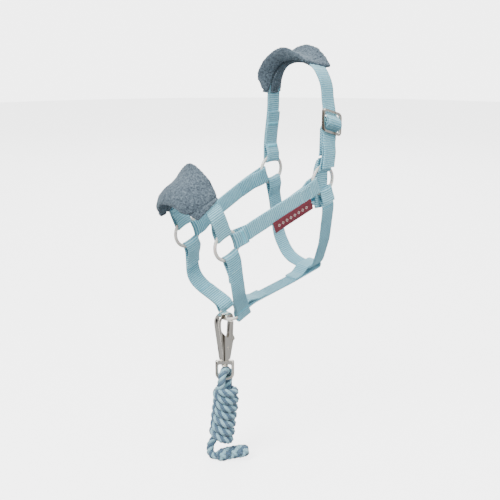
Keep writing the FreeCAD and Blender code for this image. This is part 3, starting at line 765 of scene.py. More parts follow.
STRANDS = 4
STRAND_OUT = 1.42     # strand's line to the rope's line
STRAND_HALF = 1.14    # strand radius
LAY = 10.8            # length of one turn of the strands
rope_line = rope_spline(route)
rope_s, rope_points = even(rope_line, 0.6)
strands = []
for n in range(STRANDS):
    turned = strand_line(rope_points, rope_s, STRAND_OUT, LAY, 2 * math.pi * n / STRANDS, 0.05)
    strand = tube(f"strand_{n}", turned, STRAND_HALF)
    strand.data.materials.append(ROPE_LIGHT if n % 2 == 0 else ROPE_SLATE)
    strands.append(strand)
lead_rope = joined(strands, "lead_rope")
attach(lead_rope, "rope")
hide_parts("rope_eye", "rope_hank", "rope_bight")

# Back splice: strands turned back over the rope's end and tucked under each other.
SPLICE_LENGTH = 20.0
TUCKS = 8
TUCK_LAY = 15.0       # length of one turn of a tucked strand
TUCK_OUT = 2.75       # tucked strand's line to the rope's line
TUCK_OVER = 0.42      # how far it rises over and dips under the others
TUCK_HALF = 1.28      # its radius
tail_s = rope_s > rope_s[-1] - SPLICE_LENGTH
splice_points = rope_points[tail_s]
splice_s = rope_s[tail_s] - (rope_s[-1] - SPLICE_LENGTH)
_, splice_a, splice_b = carried_frames(splice_points)
tucked = []
for n in range(TUCKS):
    way = 1 if n % 2 == 0 else -1
    phase = 2 * math.pi * (n // 2) / (TUCKS / 2)
    winding = 2 * math.pi * splice_s / TUCK_LAY
    angle = way * winding + phase
    closing = 0.35 * ramp(splice_s, SPLICE_LENGTH - 3.0, SPLICE_LENGTH + 0.5)
    taper = 1 - closing - 0.25 * ramp(3.0 - splice_s, 0.0, 3.0)
    over = way * TUCK_OVER * np.sin(4 * winding + math.pi / 2)
    out = (TUCK_OUT + over) * taper
    line = splice_points + splice_a * (out * np.cos(angle))[:, None]
    line = line + splice_b * (out * np.sin(angle))[:, None]
    strand = tube(f"tuck_{n}", line, TUCK_HALF * (0.75 + 0.25 * taper))
    strand.data.materials.append(ROPE_LIGHT if (n // 2) % 2 == 0 else ROPE_SLATE)
    tucked.append(strand)
rope_splice = joined(tucked, "rope_back_splice")
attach(rope_splice, "rope")
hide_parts("rope_end")


# ------------------------------------------------------------------ webbing
# Places across the webbing, from edge to edge, and its thickness there: the selvedges are thin.
ACROSS = np.array((-1.0, -0.975, -0.9, -0.62, -0.2, 0.2, 0.62, 0.9, 0.975, 1.0))
EDGE = np.array((0.42, 0.8, 1.0, 1.0, 1.0, 1.0, 1.0, 1.0, 0.8, 0.42))

SLIDER_X = UPPER_X + 3.7
SLIDER_V = 35.5
SLIDER_PLACE = CROWN.point(SLIDER_X, SLIDER_V, 0.0)
SLIDER_OUT = 0.8      # the slider stands this much out
SLIDER_BACK = 1.8     # and this much back
SLIDER_YAW = math.radians(7)
SLIDER_FALL = math.tan(math.radians(18))


def slider_twist(points):
    """The slider has settled askew, and the webbing near it is turned with it."""
    away = points - SLIDER_PLACE
    near = ramp(away[..., 0], -16.0, -8.0)   # the far crown leg keeps its place
    turn = (1 - ramp(np.abs(away[..., 2]), 8.0, 16.0)) * near
    shift = (1 - ramp(np.abs(away[..., 2]), 17.0, 29.0)) * near
    yaw = SLIDER_YAW * turn
    x = away[..., 0] * np.cos(yaw) + away[..., 1] * np.sin(yaw)
    y = away[..., 1] * np.cos(yaw) - away[..., 0] * np.sin(yaw)
    z = away[..., 2] - SLIDER_FALL * turn * away[..., 1]
    return SLIDER_PLACE + np.stack([x + SLIDER_OUT * shift, y + SLIDER_BACK * shift, z], axis=-1)


FAR_LEAN = 3.2        # the far crown leg's top leans in
NEAR_LEAN = 2.6       # the near crown leg's top leans out, and its middle is drawn in
NEAR_HOLLOW = 2.0


def crown_lean(u, v):
    """The far crown leg leans in as it rises, and the near one slants more evenly."""
    far = FAR_LEAN * ramp(v, 14.0, 44.0) * (1 - 0.8 * ramp(v, 50.0, 66.0)) * ramp(-u, 8.0, 18.0)
    near = NEAR_LEAN * ramp(v, 52.0, 68.0) - NEAR_HOLLOW * np.exp(-((v - 50.0) / 9.0) ** 2)
    return far + near * ramp(u, 2.0, 12.0), 0 * u, 0 * u


class Webbing:
    """A length of webbing laid along a course, cupping the rings that it is folded round."""

    def __init__(self, name, body, plane, knots, nodes=(), rings=(), drift=None, warp=None,
                 finish=None, slot="webbing", width=WEB, thick=THICK, rib=RIB_HEIGHT):
        self.plane = plane
        self.course = Course(knots)
        self.rings = rings
        self.drift = drift
        self.warp = warp
        self.width = width
        rows = max(4, int(self.course.length / (RIB_PITCH / 4)))
        deselect()
        columns = len(ACROSS) - 1
        bpy.ops.mesh.primitive_grid_add(x_subdivisions=columns, y_subdivisions=rows, size=2.0)
        piece = bpy.context.active_object
        piece.name = name
        piece.data.name = name
        flat = coords(piece) * MM
        column = np.rint((flat[:, 0] + 1) / 2 * columns).astype(int)
        t = ACROSS[column]
        s = (flat[:, 1] + 1) / 2 * self.course.length
        layer = piece.data.uv_layers[0]
        for corner in layer.data:
            across = ACROSS[min(columns, round(corner.uv[0] * columns))]
            corner.uv = ((across + 1) / 2 * width, corner.uv[1] * self.course.length)
        count = len(flat)
        apply_modifier(piece, "SOLIDIFY", thickness=0.1, offset=-1.0)
        wave = rib * np.cos(2 * math.pi * s / RIB_PITCH)
        half = (thick / 2 - rib + wave) * EDGE[column]
        top = self.at(s, t * width / 2, half)
        bottom = self.at(s, t * width / 2, -half)
        points = np.concatenate([top, bottom])
        if len(piece.data.vertices) != 2 * count:
            raise RuntimeError(name + " has an unexpected shell")
        set_coords(piece, points)
        outward(piece)
        smooth(piece)
        dress(piece, finish or WEBBING, body, slot, *nodes)
        self.length = self.course.length

    def at(self, s, w, h):
        """Points in millimetres: along the webbing, across it and above its middle."""
        s, w, h = np.broadcast_arrays(np.asarray(s, float), w, h)
        u, v = self.course.at(s, h)
        for centre_u, centre_v, out_u, out_v in self.rings:
            along = (u - centre_u) * out_u + (v - centre_v) * out_v
            side = np.abs((u - centre_u) * out_v - (v - centre_v) * out_u)
            near = (1 - ramp(along, 10.0, 21.0)) * (along > 0) * (side < 9.0)
            pull = CUP * near * (RING - np.sqrt(RING**2 - w**2))
            u = u - out_u * pull
            v = v - out_v * pull
        if self.drift:
            du, dw, dv = self.drift(u, v)
            u, w, v = u + du, w + dw, v + dv
        points = self.plane.point(u, v, w)
        return self.warp(points) if self.warp else points

    def facing(self, s, w, side):
        """A place on one face, with directions along, across and outwards."""
        here = self.at(s, w, side * THICK / 2)
        ahead = self.at(s + 0.2, w, side * THICK / 2)
        beyond = self.at(s, w + 0.2, side * THICK / 2)
        along = unit(ahead - here)
        across = unit(beyond - here)
        out = np.cross(along, across)
        inside = self.at(s, w, 0.0)
        if out @ (here - inside) < 0:
            out = -out
        return here, along, across, out


def stitch_template():
    """One stitch: a short thread pulled into the webbing at both ends, one unit long."""
    deselect()
    bpy.ops.mesh.primitive_uv_sphere_add(segments=6, ring_count=5, radius=0.5)
    stitch = bpy.context.active_object
    stitch.name = "stitch"
    bpy.ops.object.mode_set(mode="EDIT")
    bpy.ops.mesh.select_all(action="SELECT")
    bpy.ops.transform.resize(value=(0.34, 0.34, 1.0), center_override=(0.0, 0.0, 0.0))
    bpy.ops.object.mode_set(mode="OBJECT")
    return stitch


STITCH = stitch_template()


def sew(name, body, thread, slot, places, thick=0.72):
    """Stitches from places: each is (point, direction, outwards, length) in millimetres."""
    copies = []
    for point, direction, out, length in places:
        side = np.cross(direction, out)
        turn = Matrix((
            (side[0] * thick / 0.34, out[0] * thick / 0.34, direction[0] * length, point[0]),
            (side[1] * thick / 0.34, out[1] * thick / 0.34, direction[1] * length, point[1]),
            (side[2] * thick / 0.34, out[2] * thick / 0.34, direction[2] * length, point[2]),
            (0, 0, 0, 1),
        ))
        copy = bpy.data.objects.new(name, STITCH.data.copy())
        copy.data.transform(Matrix.Scale(MM, 4) @ turn)
        bpy.context.scene.collection.objects.link(copy)
        copies.append(copy)
    piece = joined(copies, name)
    outward(piece)
    smooth(piece, math.radians(80))
    return dress(piece, thread, body, slot)


def stitch_row(web, start, stop, side, pitch=1.35, length=1.0):
    """Places for a straight row of stitches between two (along, across) points on a face."""
    reach = math.dist(start, stop)
    count = max(1, int(reach / pitch))
    places = []
    for k in range(count):
        f = (k + 0.5) / count
        s = start[0] + (stop[0] - start[0]) * f
        w = start[1] + (stop[1] - start[1]) * f
        here, along, across, out = web.facing(s, w, side)
        direction = unit(along * (stop[0] - start[0]) + across * (stop[1] - start[1]))
        places.append((here + out * 0.02, direction, out, length))
    return places


def box_stitch(web, low, high, side, inset=1.3):
    """A sewn rectangle on a face, between two distances along the webbing."""
    w = web.width / 2 - inset
    return (stitch_row(web, (low, -w), (low, w), side) + stitch_row(web, (high, -w), (high, w), side)
            + stitch_row(web, (low, -w), (high, -w), side) + stitch_row(web, (low, w), (high, w), side))


TACK_PITCH = 0.62


def bar_tack(web, s, side, half=1.0):
    """A close zigzag across the webbing."""
    w = web.width / 2 - 0.7
    count = int(2 * w / TACK_PITCH)
    places = []
    for k in range(count):
        w0 = -w + 2 * w * k / count
        w1 = -w + 2 * w * (k + 1) / count
        s0, s1 = (s - half, s + half) if k % 2 == 0 else (s + half, s - half)
        length = math.dist((s0, w0), (s1, w1)) + 0.25
        places += stitch_row(web, (s0, w0), (s1, w1), side, pitch=3.0, length=length)
    return places


EASE = 3.0
TAIL_STRAIGHT = 3.0
TAIL_EASE = 6.0


def tail_in(ring_x, ring_v, out, away, lap):
    """Knots from a tail's end inside the strap, up to the fold round a ring."""
    wire = ring_v + away * RING
    inner = ring_x - out * FOLD
    sewn = ring_x + out * (FOLD - SEWN)
    return [
        (sewn, wire + away * (TAIL_STRAIGHT + TAIL_EASE + lap), 0),
        (sewn, wire + away * (TAIL_STRAIGHT + TAIL_EASE), EASE),
        (inner, wire + away * TAIL_STRAIGHT, EASE),
        (inner, wire - away * (FOLD + SLACK), FOLD),
        (ring_x + out * FOLD, wire - away * (FOLD + SLACK), FOLD),
    ]


def tail_out(ring_x, ring_v, out, away, lap):
    """Knots from a tail's end on the strap's outside, round a ring, to the strap behind it."""
    wire = ring_v + away * RING
    outer = ring_x + out * FOLD
    return [
        (outer + out * SEWN, wire + away * (TAIL_STRAIGHT + lap), 0),
        (outer + out * SEWN, wire + away * (TAIL_STRAIGHT + lap / 2), EASE),
        (outer + out * 0.2, wire + away * 0.5, EASE),
        (outer, wire - away * (FOLD + SLACK), FOLD),
        (ring_x - out * FOLD, wire - away * (FOLD + SLACK), FOLD),
        (ring_x - out * FOLD, wire + away * 1.5, EASE),
        (outer, wire + away * (TAIL_STRAIGHT + 5.0), EASE),
    ]


SIDES = {"near": 1, "far": -1}
pale_stitches = {}
bar_tacks = {}


def add_stitches(body, places):
    """Collect pale stitches for one body."""
    pale_stitches.setdefault(body, []).extend(places)


def add_tacks(body, places):
    """Collect bright bar tacks for one body."""
    bar_tacks.setdefault(body, []).extend(places)


# Cheek straps.
STEP_IN = 20.0
BOX_NEAR = 32.0       # a box stitch's two ends, from the end of the tail
BOX_FAR = 40.0
for name, side in SIDES.items():
    upper_end = tail_in(side * UPPER_X, 0, side, -1, 10.0)
    if name == "near":
        lower_end = tail_out(side * LOWER_X, -CHEEK_LENGTH, side, 1, 2.4)[::-1]
    else:
        lower_end = tail_in(side * LOWER_X, -CHEEK_LENGTH, side, 1, 10.0)[::-1]
    knots = upper_end + [
        (side * UPPER_OUT, -STEP_IN, 30),
        (side * LOWER_OUT, STEP_IN - CHEEK_LENGTH, 24),
    ] + lower_end
    web = Webbing("cheek_strap_" + name + "_web", "cheeks", CHEEK, knots,
                  ["cheek_strap_" + name],
                  rings=[(side * UPPER_X, 0, 0, -1), (side * LOWER_X, -CHEEK_LENGTH, 0, 1)])
    for face in (1, -1):
        add_stitches("cheeks", box_stitch(web, BOX_NEAR, BOX_FAR, face))
    if name == "near":
        add_tacks("cheeks", bar_tack(web, web.length - 2.6, -1))
    else:
        for face in (1, -1):
            low, high = web.length - BOX_FAR, web.length - BOX_NEAR
            add_stitches("cheeks", box_stitch(web, low, high, face))

# Nose strap.
NOSE_LEGS = 20.0
NOSE_SHOULDER = 14.0
NOSE_RISE = 38.0
knots = (
    tail_in(LOWER_X, 0, 1, 1, 1.0)
    + [(LOWER_OUT, NOSE_LEGS, 12), (NOSE_SHOULDER, NOSE_RISE, 11)]
    + [(-NOSE_SHOULDER, NOSE_RISE, 11), (-LOWER_OUT, NOSE_LEGS, 12)]
    + tail_in(-LOWER_X, 0, -1, 1, 1.0)[::-1]
)


def nose_sink(u, v):
    """Both shoulders of the noseband have sunk a little."""
    sunk = 3.2 * ramp(u, 2.0, 14.0) + 2.6 * ramp(-u, 1.0, 12.0)
    return 0 * u, 0 * u, -sunk * ramp(v, 22.0, 34.0)


Webbing("nose_strap_web", "noseband", NOSE, knots, ["nose_strap"],
        rings=[(LOWER_X, 0, 0, 1), (-LOWER_X, 0, 0, 1)], drift=nose_sink)

# Throat strap: the near tail lies outside, the far one inside.
DROP = 65.3
knots = (
    tail_out(UPPER_X, 0, 1, -1, 3.0)
    + [(UPPER_OUT - 0.6, -20.0, 40), (17.5, -43.0, 40), (6.5, -DROP, 12)]
    + [(-8.0, -DROP, 12), (-19.5, -63.0, 14), (-26.2, -48.0, 22), (-UPPER_OUT + 0.6, -20.0, 40)]
    + tail_in(-UPPER_X, 0, -1, -1, 10.0)[::-1]
)
throat_web = Webbing("throat_strap_web", "throat", THROAT, knots, ["throat_strap"],
                     rings=[(UPPER_X, 0, 0, -1), (-UPPER_X, 0, 0, -1)])
sewn_at = throat_web.length - 33.0
add_stitches("throat", stitch_row(throat_web, (sewn_at, -4.0), (sewn_at, 4.0), -1))

# Crown strap: far ring, over the poll, through the slider, with a loose tail.
BAR_PASS = 0.9 + 0.3 + THICK / 2
OVER_LOOP = BAR_PASS + THICK + 0.3
BAR_PITCH = 6.1
CROWN_NEAR = SLIDER_X - BAR_PASS
CROWN_CORNER = (CROWN_NEAR + UPPER_OUT) / 2 - 0.2
knots = (
    tail_in(-UPPER_X, 0, -1, 1, 20.0)
    + [(-UPPER_OUT, CROWN_TOP, CROWN_CORNER), (CROWN_NEAR, CROWN_TOP, CROWN_CORNER)]
    + [(CROWN_NEAR, SLIDER_V + BAR_PITCH - 1.0, 3), (SLIDER_X + OVER_LOOP, SLIDER_V + 1.6, 2)]
    + [(SLIDER_X + OVER_LOOP, SLIDER_V - 1.6, 2), (CROWN_NEAR, SLIDER_V - BAR_PITCH + 1.0, 3)]
    + [(CROWN_NEAR, SLIDER_V - BAR_PITCH - 5, 10), (CROWN_NEAR + 2.6, 8.0, 0)]
)
crown_web = Webbing("crown_strap_web", "crown", CROWN, knots, ["crown_strap"],
                    rings=[(-UPPER_X, 0, 0, 1)], warp=slider_twist, drift=crown_lean)
CROWN_TACKS = (7.4, 22.0)   # from the end of the tail
for at in CROWN_TACKS:
    add_tacks("crown", bar_tack(crown_web, at, 1))

# Adjuster loop: doubled webbing between the slider's middle bar and the near upper ring.
LOOP_OUTER = CROWN_NEAR - THICK - 0.25
LOOP_INNER = LOOP_OUTER - THICK
knots = [
    (LOOP_INNER, SLIDER_V - BAR_PITCH - 14, 0),
    (LOOP_INNER, SLIDER_V - BAR_PITCH + 0.5, 1.5),
    (SLIDER_X - BAR_PASS, SLIDER_V - 1.5, 1.2),
    (SLIDER_X - BAR_PASS, SLIDER_V + BAR_PASS, BAR_PASS),
    (SLIDER_X + BAR_PASS, SLIDER_V + BAR_PASS, BAR_PASS),
    (SLIDER_X + BAR_PASS, SLIDER_V - 1.0, 1.2),
    (LOOP_OUTER, SLIDER_V - BAR_PITCH + 1.8, 2),
    (LOOP_OUTER, SLIDER_V - BAR_PITCH - 3, 6),
    (UPPER_OUT, RING + 4, 6),
    (UPPER_OUT, RING - FOLD - SLACK, FOLD),
    (UPPER_X - FOLD, RING - FOLD - SLACK, FOLD),
    (UPPER_X - FOLD, RING + 4, 5),
    (LOOP_INNER, SLIDER_V - BAR_PITCH - 12, 3),
    (LOOP_INNER, SLIDER_V - BAR_PITCH - 15.5, 0),
]
Webbing("adjuster_loop_web", "crown", CROWN, knots, ["adjuster_loop"],
        rings=[(UPPER_X, 0, 0, 1)], warp=slider_twist)

# Chin straps: they bow forward between the lower rings and the chin ring.
CHIN_STRAIGHT = 29.0
FOOT_V = -CHIN_DROP + 4
FOLD_LOW = -CHIN_DROP - WIRE - 0.2 - THICK / 2
FOLD_IN = RING - FOLD
CHIN_TACK = 29.5      # from the lower end
HALF_ROW = 4.0        # half of a row of stitches across the webbing


def chin_bow(most):
    """Forward bow of a chin strap, most of all at its middle."""
    def drift(u, v):
        middle_part = np.sin(math.pi * np.clip((-v - 10.0) / 41.0, 0.0, 1.0)) ** 1.5
        return 0 * u, -most * middle_part, 0 * u
    return drift


for name, side in SIDES.items():
    knee = np.array((side * LOWER_OUT, -CHIN_STRAIGHT))
    foot = np.array((side * (RING + FOLD), FOOT_V))
    leg = unit(knee - foot)
    inside = np.array((-leg[1], leg[0])) * side * SEWN
    knots = tail_in(side * LOWER_X, 0, side, -1, 4.0) + [
        (*knee, 24),
        (*foot, 6),
        (side * (RING + FOLD), FOLD_LOW, FOLD),
        (side * FOLD_IN, FOLD_LOW, FOLD),
        (side * FOLD_IN, -CHIN_DROP + 3, 4),
        (*(foot + leg * 6 + inside), 4),
        (*(foot + leg * 13 + inside), 0),
    ]
    web = Webbing("chin_strap_" + name + "_web", "chin", NOSE, knots, ["chin_strap_" + name],
                  rings=[(side * LOWER_X, 0, 0, -1)], drift=chin_bow(3.8 if side > 0 else 5.6))
    at = 4.0 + TAIL_STRAIGHT + TAIL_EASE + 2 * FOLD + 12.0
    for face in (1, -1):
        add_stitches("chin", stitch_row(web, (at, -HALF_ROW), (at, HALF_ROW), face))
        add_tacks("chin", bar_tack(web, web.length - CHIN_TACK, face, half=0.8))

# Jaw strap: from the back of the chin ring to its loop round the throat strap.
spread = THROAT.point(0.0, -DROP, 0.0) - CHIN
to_throat = np.array((spread @ JAW.u, spread @ JAW.v))
LOOP_TURN = THROAT_LEAN - NOSE_LEAN
loop_way = np.array((math.cos(LOOP_TURN), math.sin(LOOP_TURN)))
loop_out = np.array((-loop_way[1], loop_way[0]))
LOOP_SIDE = THICK / 2 + 0.9 + THICK / 2
LOOP_END = WEB / 2 + 0.4 + THICK / 2


def by_throat(along, out):
    """A point near the throat strap: along its width and out from its face."""
    return tuple(to_throat + loop_way * along + loop_out * out)


knee = np.array((RING + 5, -FOLD))
heel = np.array(by_throat(-WEB / 2 - 14, -LOOP_SIDE))
leg = unit(heel - knee)
inside = np.array((-leg[1], leg[0])) * SEWN
knots = [
    (*(knee + leg * 10 + inside), 0),
    (*(knee + leg * 4 + inside), EASE),
    (RING + TAIL_STRAIGHT, FOLD, EASE),
    (RING - FOLD - SLACK, FOLD, FOLD),
    (RING - FOLD - SLACK, -FOLD, FOLD),
    (*knee, 20),
    (*heel, 20),
    (*by_throat(LOOP_END, -LOOP_SIDE), LOOP_SIDE),
    (*by_throat(LOOP_END, LOOP_SIDE), LOOP_SIDE),
    (*by_throat(-WEB / 2 - 1, LOOP_SIDE), EASE),
    (*by_throat(-WEB / 2 - 7, SEWN - LOOP_SIDE), EASE),
    (*by_throat(-WEB / 2 - 13, SEWN - LOOP_SIDE), 0),
]
jaw_web = Webbing("jaw_strap_web", "jaw", JAW, knots, ["jaw_strap"], rings=[(0, 0, 1, 0)])
sewn_at = jaw_web.length - 3.0
add_stitches("jaw", stitch_row(jaw_web, (sewn_at, -HALF_ROW), (sewn_at, HALF_ROW), 1))

for body, places in pale_stitches.items():
    sew("stitching_" + body, body, THREAD, "webbing", places)
for body, places in bar_tacks.items():
    sew("bar_tacks_" + body, body, THREAD_BRIGHT, "webbing", places)

# Side label: a satin strip that hangs below the strap, its ends curling out a little instead of turned
# under.
LABEL_OUT = UPPER_OUT + THICK / 2 + 0.3
label_slope = (UPPER_OUT - LOWER_OUT) / (CHEEK_LENGTH - 2 * STEP_IN)
LABEL_START = 16.0
LABEL_END = 46.0
label_knots = [
    (LABEL_OUT, -LABEL_START, 0),
    (LABEL_OUT, -STEP_IN, 30),
    (LABEL_OUT - label_slope * (LABEL_END - STEP_IN), -LABEL_END, 0),
]
LABEL_DROP = WEB / 2 + 3.5 - 1.4


def label_drift(u, v):
    """The label hangs below the strap and curls out a little at its ends."""
    ends = np.abs(-v - (LABEL_START + LABEL_END) / 2) / ((LABEL_END - LABEL_START) / 2)
    return 0.35 * np.clip(ends, 0, 1.2) ** 4, LABEL_DROP + 0 * u, 0 * u


Webbing("side_label_satin", "cheeks", CHEEK, label_knots, ["side_label"],
        drift=label_drift, finish=LABEL, slot="label", width=7.0, thick=0.5, rib=0.0)


# ------------------------------------------------------------------ fleece pads
PAD_VOXEL = 0.75
SWELL_CAP = 1.1       # the furthest that the cloth may move a point
CLOTH_FRAMES = 20
PILE = 0.16           # height of the brushed pile


def fleece_pad(name, plane, knots, shape, bounds_s, drift=None):
    """A stuffed pad laid along a strap's course: a slab, swollen by cloth, then smoothed."""
    course = Course(knots)
    low, high = bounds_s
    deselect()
    bpy.ops.mesh.primitive_grid_add(x_subdivisions=16, y_subdivisions=64, size=2.0)
    piece = bpy.context.active_object
    piece.name = name
    piece.data.name = name
    flat = coords(piece) * MM
    t = flat[:, 0]
    f = (flat[:, 1] + 1) / 2
    apply_modifier(piece, "SOLIDIFY", thickness=0.1, offset=-1.0)
    shell = []
    for side in (1, -1):
        s, w, h = shape(f, t, side, low, high)
        u, v = course.at(s, h)
        if drift:
            du, dw, dv = drift(u, v)
            u, v, w = u + du, v + dv, w + dw
        shell.append(plane.point(u, v, w))
    set_coords(piece, np.concatenate(shell))
    outward(piece)
    apply_modifier(piece, "REMESH", mode="VOXEL", voxel_size=PAD_VOXEL * MM)
    before = coords(piece)
    pick(piece)
    cloth = piece.modifiers.new("Cloth", "CLOTH")
    cloth.settings.use_pressure = True
    cloth.settings.uniform_pressure_force = 4.0
    cloth.settings.tension_stiffness = 15.0
    cloth.settings.bending_stiffness = 0.5
    cloth.settings.effector_weights.gravity = 0.0
    cloth.point_cache.frame_start = 1
    cloth.point_cache.frame_end = CLOTH_FRAMES
    scene = bpy.context.scene
    for number in range(1, CLOTH_FRAMES + 1):
        scene.frame_set(number)
    bpy.ops.object.modifier_apply(modifier="Cloth")
    scene.frame_set(1)
    moved = coords(piece) - before
    reach = np.linalg.norm(moved, axis=1)
    scale = np.minimum(1.0, SWELL_CAP / np.maximum(reach, 1e-9))
    set_coords(piece, before + moved * scale[:, None])
    apply_modifier(piece, "SMOOTH", factor=0.5, iterations=4)
    apply_modifier(piece, "SUBSURF", levels=1, render_levels=1)
    return piece, course


def in_plane(plane, points):
    """A plane's u, v and w of points in millimetres."""
    away = points - plane.origin
    return away @ plane.u, away @ plane.v, away @ plane.w


def fuzz(points, size, height):
    """Small uneven heights, as of brushed pile."""
    return np.array([noise.noise(Vector(p / size)) for p in points]) * height


def seam_pad(piece, plane, course, grooves):
    """Press sewn grooves into a pad and raise its pile; grooves take (s, w, h) to a depth."""
    points = coords(piece)
    u, v, w = in_plane(plane, points)
    s, h = course.nearest(u, v)
    normals = np.empty(len(piece.data.vertices) * 3)
    piece.data.vertices.foreach_get("normal", normals)
    normals = normals.reshape(-1, 3)
    depth = grooves(s, w, h)
    lift = fuzz(points, 1.1, PILE) + fuzz(points, 3.7, PILE)
    points += normals * (lift - depth)[:, None]
    set_coords(piece, points)
    smooth(piece, math.radians(180))


POLL_KNOTS = [
    (-UPPER_OUT, 30, 0),
    (-UPPER_OUT, CROWN_TOP, CROWN_CORNER),
    (CROWN_NEAR, CROWN_TOP, CROWN_CORNER),
    (CROWN_NEAR, 30, 0),
]


def poll_shape(f, t, side, low, high):
    """Poll pad: thin sewn ends, thick middle, edges that stand up front and back."""
    s = low + (high - low) * f + 3.4 * t * f**2
    end = np.minimum(ramp(f, 0.0, 0.2), ramp(1 - f, 0.0, 0.36))
    w = t * (8.0 + 1.7 * end)
    body = 1 - 0.5 * np.abs(t) ** 4
    half = (1.75 + 1.25 * end) * body
    stand = np.where(t > 0, 7.2, 6.0) * (0.3 + 0.7 * end)
    return s, w, side * half + stand * np.abs(t) ** 2.2


def poll_grooves(s, w, h):
    """Two long folds under the pad where its flaps meet the strap, and a stitch line at each end."""
    under = ramp(-h, -0.3, 1.2)
    line = np.exp(-((np.abs(w) - 4.0) / 0.6) ** 2) * 1.3 * under
    ends = np.exp(-((s - poll_low - 2.2) / 0.6) ** 2) + np.exp(-((s - poll_high + 2.2) / 0.6) ** 2)
    return line + 0.5 * ends


poll_course = Course(POLL_KNOTS)
POLL_FAR_V = 49.6
POLL_NEAR_X = 14.0


def first_where(course, test):
    """Distance along a course at the first place that passes a test."""
    return course.s[np.argmax(test)]


poll_low = first_where(poll_course, poll_course.v > POLL_FAR_V)
poll_high = first_where(poll_course, (poll_course.u > POLL_NEAR_X) & (poll_course.v < CROWN_TOP))
poll_pad, poll_course = fleece_pad("poll_pad_fleece", CROWN, POLL_KNOTS, poll_shape,
                                   (poll_low, poll_high), drift=crown_lean)
seam_pad(poll_pad, CROWN, poll_course, poll_grooves)
dress(poll_pad, FLEECE, "crown", "fleece", "poll_pad")

NOSE_KNOTS = [
    (LOWER_OUT, 8, 0),
    (LOWER_OUT, NOSE_LEGS, 12),
    (NOSE_SHOULDER, NOSE_RISE, 11),
    (-NOSE_SHOULDER, NOSE_RISE, 11),
    (-LOWER_OUT, NOSE_LEGS, 12),
    (-LOWER_OUT, 8, 0),
]
NOSE_AHEAD = -2.5


def nose_shape(f, t, side, low, high):
    """Nose pad: wide over the nose, its back edge standing up and its front edge low."""
    s = low + (high - low) * f + t * np.where(f < 0.5, 2.8, 0.3) * (1 - 2 * f)
    end = np.minimum(ramp(f, 0.0, 0.25), ramp(1 - f, 0.0, 0.25))
    w = NOSE_AHEAD + t * (9.2 + np.where(t > 0, 2.6, 3.6) * end)
    body = 1 - 0.45 * np.abs(t) ** 4
    lobe = 1.5 * ramp(f, 0.66, 0.92) * ramp(-t, 0.0, 0.7)
    half = (1.7 + 1.2 * end + lobe) * body
    rear = 0.3 + 7.2 * end * ramp(f, 0.08, 0.45) * (1 - 0.85 * ramp(f, 0.45, 0.85))
    stand = np.where(t > 0, rear, -0.5 - 3.8 * end)
    return s, w, -side * half - stand * np.abs(t) ** 2.2


def nose_grooves(s, w, h):
    """Folds under the pad beside the strap, and a stitch line at each end."""
    under = ramp(h, -0.3, 1.2)
    line = np.exp(-((np.abs(w - NOSE_AHEAD) - 5.0) / 0.7) ** 2) * 1.2 * under
    ends = np.exp(-((s - nose_low - 2.2) / 0.6) ** 2) + np.exp(-((s - nose_high + 2.2) / 0.6) ** 2)
    return line + 0.5 * ends


nose_course = Course(NOSE_KNOTS)
nose_low = first_where(nose_course, nose_course.v > 27.0)
nose_high = nose_course.length - first_where(nose_course, nose_course.v > 19.0)
nose_pad, nose_course = fleece_pad("nose_pad_fleece", NOSE, NOSE_KNOTS, nose_shape,
                                   (nose_low, nose_high), drift=nose_sink)
seam_pad(nose_pad, NOSE, nose_course, nose_grooves)
dress(nose_pad, FLEECE, "noseband", "fleece", "nose_pad")


# ------------------------------------------------------------------ rings and metal
MOULD_RIDGE = 0.05


def moulded_ring(name, node, body, axis):
    """A ring with the faint ridge where its mould closed."""
    centre = middle(node)
    deselect()
    bpy.ops.mesh.primitive_torus_add(major_segments=112, minor_segments=24,
                                     major_radius=RING * MM, minor_radius=WIRE * MM)
    piece = bpy.context.active_object
    piece.name = name
    piece.data.name = name
    points = coords(piece)
    level = np.abs(points[:, 2]) < 0.02
    flatwise = np.hypot(points[:, 0], points[:, 1])
    outer = level & (flatwise > RING)
    points[outer, :2] *= ((flatwise[outer] + MOULD_RIDGE) / flatwise[outer])[:, None]
    turn = Vector((0, 0, 1)).rotation_difference(Vector(axis)).to_matrix()
    points = points @ np.array(turn).T + centre
    set_coords(piece, points)
    outward(piece)
    smooth(piece, math.radians(180))
    return dress(piece, IVORY, body, "ring_gloss", node)


for name in SIDES:
    moulded_ring("upper_ring_" + name + "_moulded", "upper_ring_" + name, "crown", X)
    moulded_ring("lower_ring_" + name + "_moulded", "lower_ring_" + name, "cheeks", X)
moulded_ring("chin_ring_moulded", "chin_ring", "chin", JAW.v)


def cast_piece(name, node, body, voxel, rounds, warp=None):
    """A casting with the CAD node's shape, its edges rolled round as by tumbling."""
    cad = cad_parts[node]
    piece = bpy.data.objects.new(name, cad.data.copy())
    bpy.context.scene.collection.objects.link(piece)
    outward(piece, merge=0.000002)
    apply_modifier(piece, "REMESH", mode="VOXEL", voxel_size=voxel * MM)
    apply_modifier(piece, "SMOOTH", factor=0.5, iterations=rounds)
    if warp:
        set_coords(piece, warp(coords(piece)))
    smooth(piece, math.radians(180))
    return dress(piece, NICKEL, body, "nickel", node)


cast_piece("slider_casting", "slider_frame", "crown", 0.16, 5, slider_twist)
cast_piece("snap_hook_casting", "snap_hook", "snap", 0.2, 12)
cast_piece("swivel_eye_casting", "swivel_eye", "swivel", 0.18, 6)
for node, finish in (
    ("snap_gate", NICKEL), ("gate_pin", NICKEL), ("swivel_pin", NICKEL), ("gate_spring", SPRING),
):
    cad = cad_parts[node]
    for slot in cad.material_slots:
        slot.material = finish
    if not cad.material_slots:
        cad.data.materials.append(finish)

bpy.data.objects.remove(STITCH)


